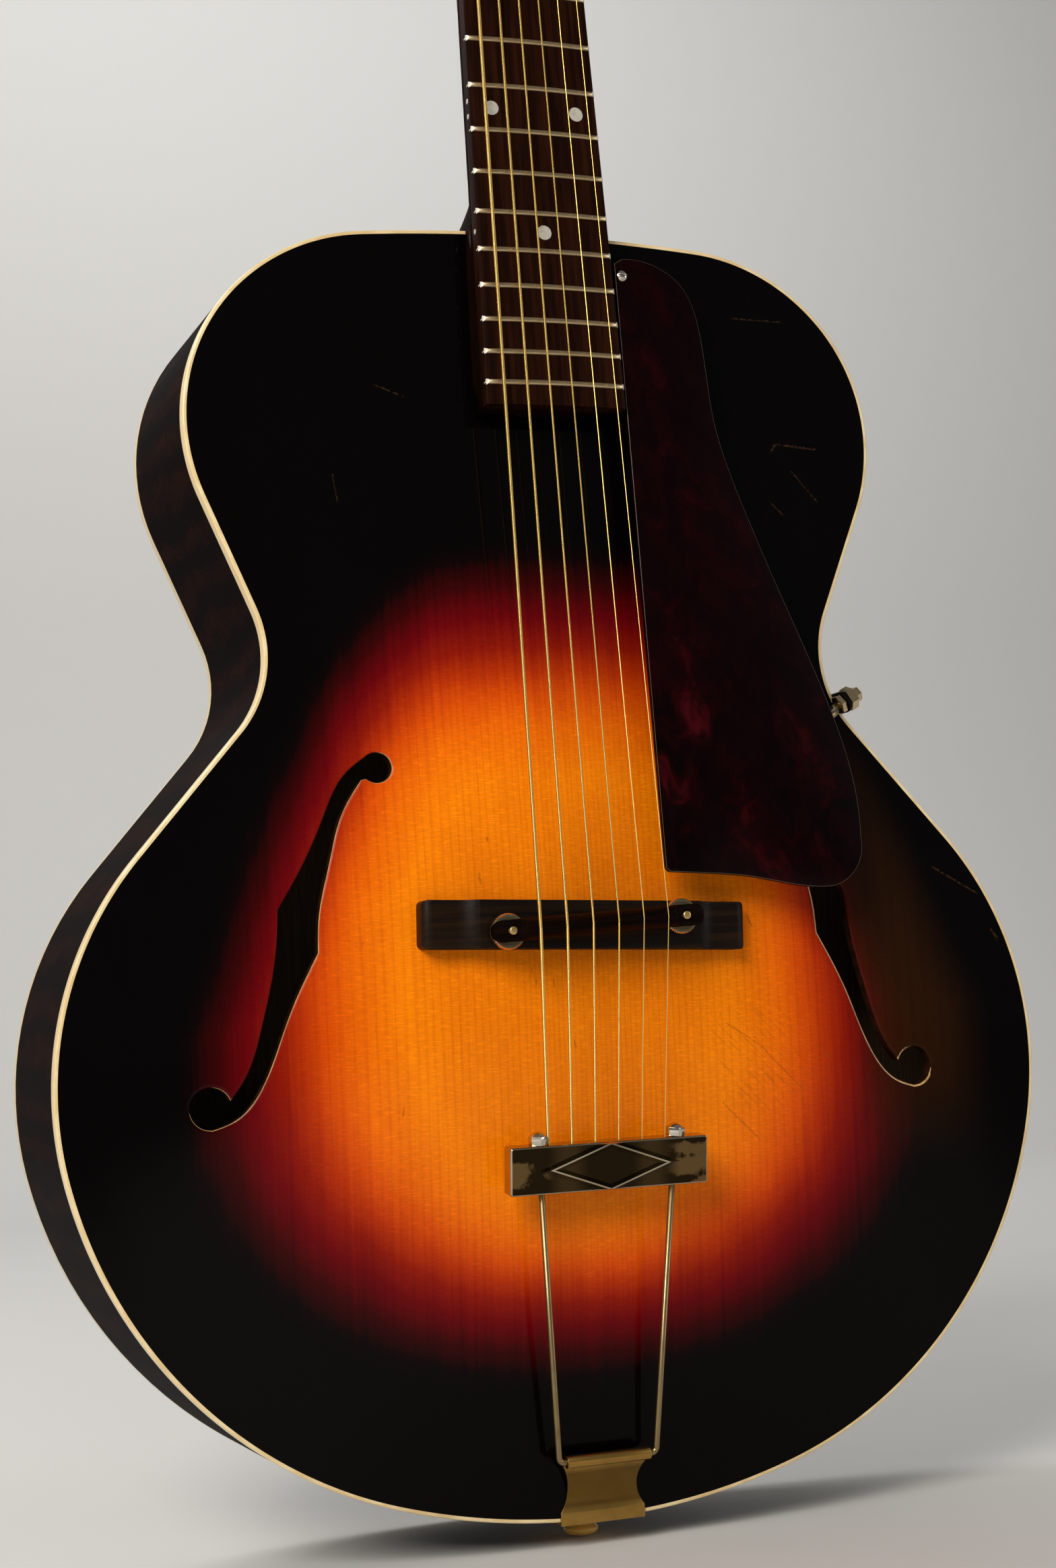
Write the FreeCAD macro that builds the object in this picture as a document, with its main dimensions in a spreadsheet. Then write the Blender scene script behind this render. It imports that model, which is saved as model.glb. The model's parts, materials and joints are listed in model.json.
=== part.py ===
"""Archtop guitar: carved top and back, 14-fret neck, floating bridge, trapeze tailpiece.

Frame: millimetres, +Z up along the strings, the top faces -Y, treble side +X.
The origin is the strap button's axis at the tail, on the outside of the rim.
"""
import FreeCAD, Part
import math
import os
import Sketcher

V = FreeCAD.Vector
DOC = FreeCAD.newDocument("archtop_guitar")

# Driving dimensions, in millimetres and degrees
SIZES = (
    # body outline, as tangent arcs and lines from the tail to the neck
    ("tail_radius", 274.4), ("tail_turn", 17.0),
    ("lower_radius", 174.9), ("lower_turn", 60.0),
    ("bout_radius", 133.6), ("bout_turn", 54.3),
    ("flank_run", 62.1),
    ("waist_radius", 44.2), ("waist_turn", 64.0),
    ("chest_run", 47.0),
    ("upper_radius", 76.1), ("upper_turn", 66.8),
    ("shoulder_radius", 82.4), ("shoulder_turn", 41.0),
    # body shell
    ("rim_depth", 92.0), ("button_drop", 24.0),
    ("plate_thick", 5.0), ("side_thick", 2.5), ("binding_width", 1.5),
    ("lining_width", 6.0), ("lining_height", 12.0), ("glue_line", 0.05),
    ("arch_front", 14.5), ("arch_back", 14.0), ("arch_edge", 10.0), ("arch_crest", 230.0),
    ("neck_block_width", 64.0), ("neck_block_run", 45.0),
    ("tail_block_width", 60.0), ("tail_block_run", 22.0),
    ("bar_width", 6.0), ("bar_height", 12.0), ("bar_spread", 32.0),
    ("bar_low", 80.0), ("bar_high", 400.0),
    # sound holes
    ("eye_upper_radius", 5.9), ("eye_lower_radius", 7.8),
    ("eye_upper_x", 77.3), ("eye_upper_z", 289.2), ("eye_lower_x", 146.0), ("eye_lower_z", 164.3),
    # neck
    ("scale_length", 626.0), ("join_gap", 2.9), ("neck_angle", 3.8), ("glue_height", 7.9),
    ("nut_width", 43.2), ("board_end_width", 58.3), ("board_thick", 6.5),
    ("board_radius", 305.0), ("board_past", 9.0),
    ("shaft_depth_nut", 15.0), ("shaft_depth_heel", 18.0),
    ("heel_width", 43.0), ("heel_run", 70.0), ("heel_end_width", 29.0), ("heel_end_run", 17.0),
    ("tenon_root", 26.0), ("tenon_tip", 34.0), ("tenon_run", 24.0), ("joint_gap_wood", 0.1),
    ("fret_width", 2.3), ("fret_height", 1.1),
    ("dot_radius", 3.0), ("dot_spread", 36.0), ("side_dot_radius", 1.1), ("dot_deep", 1.6),
    ("nut_thick", 5.0), ("nut_rise", 2.6),
    ("rod_radius", 2.4), ("rod_deep", 8.0), ("rod_run", 360.0), ("rod_gap", 0.15),
    # head
    ("head_angle", 14.0), ("head_length", 168.0), ("head_width", 70.0), ("head_thick", 13.5),
    ("head_flare", 36.0), ("head_crown", 10.0), ("veneer_thick", 1.6),
    ("pocket_width", 11.0), ("pocket_run", 24.0), ("pocket_start", 2.0), ("pocket_deep", 13.5),
    ("rod_nut_flat", 8.0), ("rod_nut_thick", 8.0),
    ("cover_width", 24.0), ("cover_run", 40.0), ("cover_thick", 2.0),
    # tuners
    ("post_inset", 14.5), ("post_first", 40.0), ("post_pitch", 39.0),
    ("post_radius", 3.1), ("post_rise", 13.0), ("post_gap", 0.3),
    ("bushing_wall", 1.4), ("bushing_flange", 1.0), ("bushing_rise", 1.2), ("bushing_deep", 8.0),
    ("gear_radius", 5.1), ("gear_thick", 4.0), ("gear_teeth", 14.0),
    ("worm_radius", 2.2), ("shaft_radius", 1.5), ("shaft_gap", 0.3),
    ("strip_thick", 1.0), ("strip_width", 17.5), ("strip_past", 14.0),
    ("ear_thick", 1.2), ("ear_width", 7.0), ("ear_span", 13.0),
    ("key_reach", 7.0), ("key_length", 16.0), ("key_width", 20.0), ("key_thick", 7.0),
    # bridge
    ("string_span_nut", 35.5), ("string_span_saddle", 52.4),
    ("action_nut", 0.5), ("action_twelve", 2.2), ("saddle_set_back", 3.4), ("saddle_turn", 2.7),
    ("base_length", 132.5), ("base_width", 18.5), ("base_height", 9.0), ("wing_height", 5.0),
    ("base_corner", 2.2), ("base_turn", 2.2), ("base_roll", 4.5), ("seat_gap", 0.1),
    ("stud_span", 71.0), ("stud_radius", 1.75), ("stud_sink", 7.0), ("stud_gap", 0.3),
    ("wheel_radius", 7.0), ("wheel_thick", 3.5), ("wheel_gap", 2.0), ("wheel_notches", 24.0),
    ("saddle_length", 86.0), ("saddle_width", 8.4), ("saddle_round", 3.6), ("saddle_tab", 4.2),
    ("crest_length", 61.0),
    ("crest_width", 3.0), ("string_seat", 0.15),
    # tailpiece
    ("barrel_z", 24.2), ("barrel_rise", 9.2), ("barrel_length", 34.0), ("barrel_wall", 0.9),
    ("trapeze_radius", 1.2), ("trapeze_gap", 0.3), ("trapeze_foot", 39.6), ("trapeze_head", 55.6),
    ("trapeze_bend", 2.2),
    ("tail_plate_width", 80.0), ("tail_plate_height", 18.2), ("tail_plate_low", 102.8),
    ("tail_plate_deep", 7.0), ("tail_plate_wall", 1.3), ("diamond_width", 49.5),
    ("diamond_band", 2.6), ("diamond_rise", 1.2), ("string_span_tail", 47.3),
    ("string_hole", 1.3), ("cap_flat", 6.4), ("cap_thick", 3.2), ("cap_crown", 1.6),
    ("bracket_thick", 1.0), ("bracket_width", 34.4), ("bracket_waist", 28.4),
    ("bracket_knee", 3.8), ("leaf_sag", 1.1), ("flange_run", 40.0),
    # strap button
    ("peg_radius", 3.1), ("peg_length", 18.0), ("button_radius", 6.8), ("button_neck", 4.2),
    ("button_rise", 9.6), ("peg_gap", 0.1),
    # pickguard
    ("guard_thick", 2.6), ("guard_left", 30.6), ("guard_width", 85.0), ("guard_drop", 15.42),
    ("guard_clear", 10.42),
    ("guard_screw_x", 33.4), ("guard_screw_drop", 22.42), ("guard_pad_radius", 2.7),
    ("guard_shank", 1.35), ("guard_shank_gap", 0.05),
    ("guard_screw_radius", 2.5), ("stay_radius", 1.6), ("stay_rise", 4.2), ("stay_z", 313.0),
    ("clamp_thick", 1.5), ("clamp_width", 9.0), ("clamp_run", 34.0), ("stay_nut_flat", 6.0),
)
FRET_COUNT = 19
JOIN_FRET = 14
STRING_RADII = (0.18, 0.22, 0.34, 0.46, 0.58, 0.70)
DOT_FRETS = (3, 5, 7, 9, 12, 15)


class Size:
    """A sheet value that carries both its expression and its number."""

    def __init__(self, text, value):
        self.text = text
        self.value = float(value)

    def __float__(self):
        return self.value

    def _join(self, other, sign, value, swap=False):
        other = lift(other)
        left, right = (other, self) if swap else (self, other)
        return Size("(%s %s %s)" % (left.text, sign, right.text), value)

    def __add__(self, other):
        return self._join(other, "+", self.value + float(other))

    __radd__ = __add__

    def __sub__(self, other):
        return self._join(other, "-", self.value - float(other))

    def __rsub__(self, other):
        return self._join(other, "-", float(other) - self.value, swap=True)

    def __mul__(self, other):
        return self._join(other, "*", self.value * float(other))

    __rmul__ = __mul__

    def __truediv__(self, other):
        return self._join(other, "/", self.value / float(other))

    def __neg__(self):
        return Size("(0 - %s)" % self.text, -self.value)


def lift(value):
    return value if isinstance(value, Size) else Size(repr(float(value)), value)


class Dims:
    """Attribute access to the sheet: D.rim_depth is that cell as a Size."""

    def __init__(self, sheet):
        self.sheet = sheet

    def __getattr__(self, name):
        return Size("dims." + name, self.sheet.get(name))


def make_sheet():
    sheet = DOC.addObject("Spreadsheet::Sheet", "dims")
    for row, (name, value) in enumerate(SIZES, start=1):
        sheet.set("A%d" % row, name)
        sheet.set("B%d" % row, str(value))
        sheet.setAlias("B%d" % row, name)
    DOC.recompute()
    return sheet


D = Dims(make_sheet())
PARTS = []


def keep(obj, label):
    """Give a finished sub-part its label and put it on the list to write out."""
    obj.Label = label
    PARTS.append(obj)
    return obj


def feature(label, shape, placement=None):
    obj = DOC.addObject("Part::Feature", label)
    obj.Shape = shape
    if placement is not None:
        obj.Placement = placement
    return keep(obj, label)


def shift(x=0, y=0, z=0):
    return FreeCAD.Placement(V(x, y, z), FreeCAD.Rotation())


def turn(axis, degrees):
    return FreeCAD.Placement(V(0, 0, 0), FreeCAD.Rotation(axis, degrees))


def placed(shape, placement):
    copy = shape.copy()
    copy.Placement = placement.multiply(copy.Placement)
    return copy


def polygon(points, direction):
    """Prism on a closed run of points."""
    return Part.Face(Part.makePolygon(points + points[:1])).extrude(direction)


def spline(points):
    curve = Part.BSplineCurve()
    curve.interpolate(points)
    return curve.toShape()


def block(x0, x1, y0, y1, z0, z1):
    return Part.makeBox(x1 - x0, y1 - y0, z1 - z0, V(x0, y0, z0))


def mirrored(shape):
    return shape.mirror(V(0, 0, 0), V(1, 0, 0))


def hexagon(flat):
    reach = float(flat) / math.sqrt(3)
    angles = [math.radians(60 * k + 30) for k in range(6)]
    return [(reach * math.cos(a), reach * math.sin(a)) for a in angles]


# Sketch helpers: every corner and radius is bound to the sheet


def new_body(name):
    return DOC.addObject("PartDesign::Body", name)


def new_sketch(body, role, offset=None):
    sketch = body.newObject("Sketcher::SketchObject", body.Name + "_sketch")
    plane = [o for o in body.Origin.OriginFeatures if o.Role == role][0]
    sketch.AttachmentSupport = [(plane, "")]
    sketch.MapMode = "FlatFace"
    if offset is not None:
        sketch.setExpression("AttachmentOffset.Base.z", lift(offset).text)
    return sketch


def add_loop(sketch, corners):
    first = sketch.GeometryCount
    points = [V(float(a), float(b), 0) for a, b in corners]
    count = len(points)
    for k in range(count):
        sketch.addGeometry(Part.LineSegment(points[k], points[(k + 1) % count]), False)
    for k in range(count):
        sketch.addConstraint(Sketcher.Constraint("Coincident", first + k, 2, first + (k + 1) % count, 1))
    for k, (a, b) in enumerate(corners):
        for kind, size in (("DistanceX", lift(a)), ("DistanceY", lift(b))):
            index = sketch.addConstraint(Sketcher.Constraint(kind, first + k, 1, size.value))
            sketch.setExpression("Constraints[%d]" % index, size.text)


def add_circle(sketch, x, y, radius):
    x, y, radius = lift(x), lift(y), lift(radius)
    geo = sketch.addGeometry(Part.Circle(V(x.value, y.value, 0), V(0, 0, 1), radius.value), False)
    index = sketch.addConstraint(Sketcher.Constraint("Radius", geo, radius.value))
    sketch.setExpression("Constraints[%d]" % index, radius.text)
    for kind, size in (("DistanceX", x), ("DistanceY", y)):
        index = sketch.addConstraint(Sketcher.Constraint(kind, geo, 3, size.value))
        sketch.setExpression("Constraints[%d]" % index, size.text)


def add_pad(body, sketch, length, reverse=False):
    pad = body.newObject("PartDesign::Pad", body.Name + "_pad")
    pad.Profile = sketch
    pad.Reversed = reverse
    pad.setExpression("Length", lift(length).text)
    DOC.recompute()
    return pad


def add_pocket(body, sketch, length=None, reverse=False):
    before = body.Shape.Volume
    pocket = body.newObject("PartDesign::Pocket", body.Name + "_pocket")
    pocket.Profile = sketch
    pocket.Reversed = reverse
    if length is None:
        pocket.Type = "ThroughAll"
        pocket.Midplane = True
    else:
        pocket.setExpression("Length", lift(length).text)
    DOC.recompute()
    if not body.Shape.Volume < before:
        raise RuntimeError(body.Name + ": the pocket cuts nothing")
    return pocket


def revolved(name, corners):
    """Body of revolution about its own Z axis, from (radius, height) corners."""
    body = new_body(name)
    sketch = new_sketch(body, "XZ_Plane")
    add_loop(sketch, corners)
    spin = body.newObject("PartDesign::Revolution", name + "_spin")
    spin.Profile = sketch
    spin.ReferenceAxis = (sketch, ["V_Axis"])
    spin.Angle = 360
    DOC.recompute()
    return body


# Levels and places worked out from the driving dimensions

FRONT = -float(D.button_drop)
BACK = FRONT + float(D.rim_depth)
PLATE = float(D.plate_thick)


def outline_runs():
    """Half outline on the treble side: (kind, data, heading at start, heading at end)."""
    plan = (
        ("arc", D.tail_radius, D.tail_turn, 1), ("arc", D.lower_radius, D.lower_turn, 1),
        ("arc", D.bout_radius, D.bout_turn, 1), ("line", D.flank_run, 0, 0),
        ("arc", D.waist_radius, D.waist_turn, -1), ("line", D.chest_run, 0, 0),
        ("arc", D.upper_radius, D.upper_turn, 1), ("arc", D.shoulder_radius, D.shoulder_turn, 1),
    )
    runs = []
    x = z = heading = 0.0
    for kind, size, sweep, side in plan:
        size = float(size)
        if kind == "line":
            runs.append(("line", (x, z, size), heading, heading))
            x += size * math.cos(heading)
            z += size * math.sin(heading)
            continue
        cx = x - side * size * math.sin(heading)
        cz = z + side * size * math.cos(heading)
        end = heading + side * math.radians(float(sweep))
        runs.append(("arc", (cx, cz, size, side), heading, end))
        x = cx + side * size * math.sin(end)
        z = cz - side * size * math.cos(end)
        heading = end
    radius = x / math.sin(heading)
    runs.append(("arc", (0.0, z + radius * math.cos(heading), radius, 1), heading, math.pi))
    return runs


RUNS = outline_runs()


def run_point(run, share, inset=0.0):
    kind, data, start, end = run
    if kind == "line":
        x, z, length = data
        return (x + share * length * math.cos(start) - inset * math.sin(start),
                z + share * length * math.sin(start) + inset * math.cos(start))
    cx, cz, radius, side = data
    heading = start + share * (end - start)
    reach = side * (radius - side * inset)
    return cx + reach * math.sin(heading), cz - reach * math.cos(heading)


LENGTH = run_point(RUNS[-1], 1.0)[1]
EDGE = [run_point(run, k / 40.0) for run in RUNS for k in range(41)]


def half_width(z):
    """Half width of the body outline at a height."""
    for (x0, z0), (x1, z1) in zip(EDGE, EDGE[1:]):
        if z0 <= z <= z1 and z1 > z0:
            return x0 + (x1 - x0) * (z - z0) / (z1 - z0)
    return 0.0


def outline_prism(inset, y0, y1):
    """Solid of the body outline, drawn in by an inset, between two levels."""
    inset = float(inset)
    edges = []
    for mirror in (1, -1):
        for run in RUNS:
            a, m, b = [V(mirror * p[0], y0, p[1]) for p in (run_point(run, s, inset) for s in (0.0, 0.5,
                                                                                               1.0))]
            edges.append(Part.LineSegment(a, b).toShape() if run[0] == "line" else Part.Arc(a, m,
                                                                                            b).toShape())
    wire = Part.Wire(Part.__sortEdges__(edges))
    return Part.Face(wire).extrude(V(0, y1 - y0, 0))


def soft_step(u):
    u = min(max(u, 0.0), 1.0)
    return u * u * (3 - 2 * u)


def arch(x, z, height):
    """Carved height at a point: flat edge, hollow recurve, full crown."""
    edge = float(D.arch_edge)
    crest = float(D.arch_crest)
    across = 1 - abs(x) / max(half_width(z) - edge, 5.0)
    along = (z - edge) / (crest - edge) if z < crest else (LENGTH - edge - z) / (LENGTH - edge - crest)
    return float(height) * soft_step(max(along, 0.0) ** 0.8) * soft_step(max(across, 0.0) ** 0.85)


ROWS = (0.0, 0.02, 0.05, 0.1, 0.17, 0.25, 0.35, 0.45, 0.55, 0.65, 0.75, 0.83, 0.9, 0.95, 0.98, 1.0)
COLUMNS = (0.0, 0.2, 0.4, 0.6, 0.75, 0.88, 1.0, 1.06, 1.14, 1.35)


def arch_face(level, height, side):
    """Carved surface as one smooth patch wider than the outline; side -1 faces front."""
    edge = float(D.arch_edge)
    first = edge - 0.4
    last = LENGTH - first
    flat = [-8.0, 1.0, edge * 0.6]
    stations = flat + [first + (last - first) * row for row in ROWS] + [LENGTH - z for z in reversed(flat)]
    shares = [-c for c in reversed(COLUMNS[1:])] + list(COLUMNS)
    grid = []
    for z in stations:
        width = half_width(min(max(z, edge), LENGTH - edge)) - edge
        grid.append([V(share * width, level + side * arch(share * width, z, height), z) for share in shares])
    surface = Part.BSplineSurface()
    surface.interpolate(grid)
    return surface.toShape()


FRONT_FACE = arch_face(FRONT, D.arch_front, -1)
BACK_FACE = arch_face(BACK, D.arch_back, 1)


def front_slab(start, thick):
    """Layer that follows the top's outer surface, from a depth below it."""
    return placed(FRONT_FACE, shift(y=start)).extrude(V(0, float(thick), 0))


def back_slab(start, thick):
    return placed(BACK_FACE, shift(y=-start)).extrude(V(0, -float(thick), 0))


def fret_place(number):
    """Distance of a fret from the nut."""
    return float(D.scale_length) * (1 - 2 ** (-number / 12.0))


# Neck frame: origin on the glue line under the joining fret, +Z to the head, -Y to the strings
JOIN_Z = LENGTH + float(D.join_gap)
NECK = FreeCAD.Placement(V(0, FRONT - float(D.glue_height), JOIN_Z),
                         FreeCAD.Rotation(V(1, 0, 0), -float(D.neck_angle)))
NUT_Z = fret_place(JOIN_FRET)
BOARD_END = NUT_Z - fret_place(FRET_COUNT) - float(D.board_past)
# Head frame: origin on the head's face at the far side of the nut, tipped back
HEAD = NECK.multiply(shift(z=NUT_Z + float(D.nut_thick))).multiply(
    turn(V(1, 0, 0), -float(D.head_angle)))
BRIDGE_Z = JOIN_Z + (NUT_Z - float(D.scale_length)) * math.cos(math.radians(float(D.neck_angle)))
BRIDGE_Z = BRIDGE_Z - float(D.saddle_set_back)
CREST_Y = FRONT - arch(0, BRIDGE_Z, D.arch_front)
# Bridge frame: on the top's crest under the saddle, square to the saddle's slant
SADDLE = FreeCAD.Placement(V(0, CREST_Y, BRIDGE_Z), FreeCAD.Rotation(V(0, 1, 0), -float(D.saddle_turn)))


def board_half(z):
    """Half width of the fingerboard at a height in the neck frame."""
    share = (NUT_Z - z) / (NUT_Z - BOARD_END)
    return 0.5 * (float(D.nut_width) + share * (float(D.board_end_width) - float(D.nut_width)))


def board_top(x):
    """Level of the rounded fingerboard surface in the neck frame."""
    radius = float(D.board_radius)
    return -float(D.board_thick) + radius - math.sqrt(radius * radius - x * x)


def spread(span, number):
    """Place of a string across a span; string 1 is the treble one."""
    return float(span) * (0.5 - (number - 1) / 5.0)


def string_height(x, number, distance):
    """Level of a string's axis in the neck frame at a distance from the nut."""
    climb = (float(D.action_twelve) - float(D.action_nut)) * 2 / float(D.scale_length)
    rise = float(D.action_nut) + climb * distance
    return board_top(x) - float(D.fret_height) - rise - STRING_RADII[number - 1]


def string_at_nut(number):
    x = spread(D.string_span_nut, number)
    return NECK.multVec(V(x, string_height(x, number, 0.0), NUT_Z + 1.0))


def string_at_saddle(number):
    x = spread(D.string_span_saddle, number)
    z = BRIDGE_Z + x * math.tan(math.radians(float(D.saddle_turn)))
    drop = (JOIN_Z - z) / math.cos(math.radians(float(D.neck_angle)))
    point = NECK.multVec(V(x, string_height(x, number, NUT_Z + drop), -drop))
    return V(x, point.y, z)


BARREL = V(0, FRONT - float(D.barrel_rise), float(D.barrel_z))
PULL = (string_at_saddle(3) + string_at_saddle(4)) * 0.5
TAIL_TILT = math.degrees(math.atan2(BARREL.y - PULL.y, PULL.z - BARREL.z))
# Tailpiece frame: on the hinge axis, +Z along the pull of the strings
TAIL = FreeCAD.Placement(BARREL, FreeCAD.Rotation(V(1, 0, 0), TAIL_TILT))


# Body shell


def tenon(gap):
    """Dovetail tongue of the heel, in plan, grown by a gap."""
    root = float(D.tenon_root) / 2 + gap
    tip = float(D.tenon_tip) / 2 + gap
    low = LENGTH - float(D.tenon_run) - gap
    top = FRONT - float(D.glue_height) * 0.5
    bottom = BACK - PLATE - 6.0 + gap
    return polygon([V(-root, top, LENGTH + 3), V(root, top, LENGTH + 3), V(tip, top, low), V(-tip, top, low)],
                   V(0, bottom - top, 0))


# Stem of the f-hole in shares across and down from its upper eye to its lower eye
OUTER_NICK = (0.591, 0.4219)
INNER_NICK = (0.3843, 0.5557)
CUSP = (0.9156, 0.9928)
ROOT = (0.0888, 0.0368)
STEM_UPPER_OUT = ((0.1834, 0.0208), (0.294, 0.1257), (0.4178, 0.2658), OUTER_NICK)
STEM_LOWER_OUT = (OUTER_NICK, (0.6128, 0.546), (0.706, 0.7654), (0.8297, 0.936), CUSP)
STEM_LOWER_IN = ((0.8661, 1.0376), (0.7045, 0.9327), (0.5575, 0.7398), INNER_NICK)
STEM_UPPER_IN = (INNER_NICK, (0.3726, 0.458), (0.2926, 0.2818), (0.2052, 0.1353), ROOT)


def sound_hole():
    """One f-hole on the treble side: two eyes joined by a nicked stem."""
    level = FRONT - 40.0
    reach = V(0, 60, 0)
    upper = V(float(D.eye_upper_x), level, float(D.eye_upper_z))
    lower = V(float(D.eye_lower_x), level, float(D.eye_lower_z))

    def at(share):
        return V(upper.x + share[0] * (lower.x - upper.x), level, upper.z + share[1] * (lower.z - upper.z))

    lean = float(D.eye_upper_radius) * math.sqrt(0.5)
    shoulder = upper + V(lean, 0, lean)
    foot = lower + V(-0.08, 0, -1.0) * float(D.eye_lower_radius)
    edges = [
        spline([shoulder] + [at(share) for share in STEM_UPPER_OUT]),
        spline([at(share) for share in STEM_LOWER_OUT]),
        Part.makeLine(at(CUSP), lower),
        Part.makeLine(lower, foot),
        spline([foot] + [at(share) for share in STEM_LOWER_IN]),
        spline([at(share) for share in STEM_UPPER_IN]),
        Part.makeLine(at(ROOT), upper),
        Part.makeLine(upper, shoulder),
    ]
    stem = Part.Face(Part.Wire(edges)).extrude(reach)
    eyes = [Part.makeCylinder(float(radius), 60, spot, V(0, 1, 0))
            for spot, radius in ((upper, D.eye_upper_radius), (lower, D.eye_lower_radius))]
    return stem.fuse(eyes)


def make_plates():
    wood = outline_prism(D.binding_width + D.glue_line, FRONT - 40, BACK + 40)
    hole = sound_hole()
    top = front_slab(0, PLATE).common(wood)
    top = top.cut([hole, mirrored(hole), tenon(float(D.joint_gap_wood)), guard_screw_bore()])
    feature("top_plate", top)
    feature("back_plate", back_slab(0, PLATE).common(wood))


def make_rim():
    tongue = tenon(float(D.joint_gap_wood))
    low = FRONT + PLATE + float(D.glue_line)
    high = BACK - PLATE - float(D.glue_line)
    peg = Part.makeCylinder(float(D.peg_radius + D.peg_gap), 40, V(0, 0, -5), V(0, 0, 1))
    ring = outline_prism(0, low, high).cut(outline_prism(D.side_thick, low, high))
    ring = ring.cut([tongue, peg] + bracket_screw_bores())
    wide = 400.0
    feature("side_bass", ring.common(block(-wide, 0, low, high, -20, LENGTH + 20)))
    feature("side_treble", ring.common(block(0, wide, low, high, -20, LENGTH + 20)))
    for label, y0, y1 in (("top_binding", FRONT, FRONT + PLATE), ("back_binding", BACK - PLATE, BACK)):
        band = outline_prism(0, y0, y1).cut(outline_prism(D.binding_width, y0, y1))
        feature(label, band.cut(tongue))


def make_blocks():
    outside = [front_slab(-30, 30 + PLATE), back_slab(-30, 30 + PLATE)]
    inside = outline_prism(D.side_thick, FRONT - 30, BACK + 30)
    half = float(D.neck_block_width) / 2
    head = block(-half, half, FRONT - 25, BACK + 25, LENGTH - float(D.neck_block_run), LENGTH)
    feature("neck_block", head.common(inside).cut(outside + [tenon(float(D.joint_gap_wood))]))
    half = float(D.tail_block_width) / 2
    peg = Part.makeCylinder(float(D.peg_radius + D.peg_gap), 40, V(0, 0, -5), V(0, 0, 1))
    tail = block(-half, half, FRONT - 25, BACK + 25, 0, float(D.tail_block_run))
    feature("tail_block", tail.common(inside).cut(outside + [peg] + bracket_screw_bores()))


def make_linings():
    neck_half = float(D.neck_block_width) / 2
    tail_half = float(D.tail_block_width) / 2
    gaps = [block(-neck_half, neck_half, FRONT, BACK, LENGTH - 60, LENGTH),
            block(-tail_half, tail_half, FRONT, BACK, 0, 60)]
    inner = D.side_thick + D.lining_width
    low = FRONT + PLATE + float(D.glue_line)
    high = BACK - PLATE - float(D.glue_line)
    tall = float(D.lining_height)
    for label, y0, y1 in (("top_lining", low, low + tall), ("back_lining", high - tall, high)):
        strip = outline_prism(D.side_thick, y0, y1).cut(outline_prism(inner, y0, y1))
        feature(label, strip.cut(gaps))


def make_tone_bars():
    layer = front_slab(PLATE, D.bar_height)
    half = float(D.bar_width) / 2
    bars = []
    for side in (-1, 1):
        x = side * float(D.bar_spread)
        strip = block(x - half, x + half, FRONT - 30, FRONT + 40, float(D.bar_low), float(D.bar_high))
        bars.append(layer.common(strip))
    feature("tone_bars", Part.makeCompound(bars))


# Neck, fingerboard and head


def shaft_section(z, width, depth):
    """Half-oval neck section under the glue line."""
    half = float(width) / 2
    depth = float(depth)
    oval = Part.Ellipse(V(half, 0, z), V(0, depth, z), V(0, 0, z)) if half > depth else \
        Part.Ellipse(V(0, depth, z), V(-half, 0, z), V(0, 0, z))
    arc = Part.ArcOfEllipse(oval, 0, math.pi).toShape()
    return Part.Wire([arc, Part.makeLine(V(-half, 0, z), V(half, 0, z))])


def heel_section(y, width, run):
    half = float(width) / 2
    run = float(run)
    base = LENGTH - 1.5
    rim = [V(half * math.cos(t), y, base + run * math.sin(t)) for t in
           (math.pi * k / 8 for k in range(9))]
    return Part.Wire([spline(rim), Part.makeLine(rim[-1], rim[0])])


def head_outline(z_start):
    """Head plan in the head frame: flared cheeks, parallel sides, low round crown."""
    neck = float(D.nut_width) / 2
    side = float(D.head_width) / 2
    flare = float(D.head_flare)
    shoulder = float(D.head_length) - float(D.head_crown)
    soft = 8.0

    def half(sign):
        cheek = spline([V(sign * x, 0, z) for x, z in (
            (neck, z_start), (neck + 1.2, flare * 0.3), (side - 1.4, flare * 0.75), (side, flare))])
        wall = Part.makeLine(V(sign * side, 0, flare), V(sign * side, 0, shoulder - soft))
        corner = Part.Arc(V(sign * side, 0, shoulder - soft), V(sign * (side - 2.2), 0, shoulder - 2.4),
                          V(sign * (side - soft), 0, shoulder)).toShape()
        return [cheek, wall, corner]

    crown = Part.Arc(V(side - soft, 0, shoulder), V(0, 0, float(D.head_length)),
                     V(soft - side, 0, shoulder)).toShape()
    foot = Part.makeLine(V(-neck, 0, z_start), V(neck, 0, z_start))
    return Part.Wire(Part.__sortEdges__(half(1) + [crown] + half(-1) + [foot]))


def post_places():
    """Tuner posts as (string, side, x, z) in the head frame, from the nut upwards."""
    x = float(D.head_width - D.post_inset * 2) / 2
    places = []
    for side, strings in ((1, (1, 2, 3)), (-1, (6, 5, 4))):
        for step, number in enumerate(strings):
            places.append((number, side, side * x, float(D.post_first + D.post_pitch * step)))
    return places


def strip_screw_places():
    """Screws of the tuner strips: between the posts and at both ends."""
    x = float(D.head_width - D.post_inset * 2) / 2
    first = float(D.post_first)
    pitch = float(D.post_pitch)
    heights = [first - 9.5, first + pitch * 0.5, first + pitch * 1.5, first + pitch * 2 + 18.0]
    return [(side * (x - 1.0), z) for side in (1, -1) for z in heights]


COVER_SCREWS = ((0.0, 38.0), (-7.0, 9.0), (7.0, 9.0))
HEAD_BACK = float(D.veneer_thick + D.head_thick)


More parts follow.
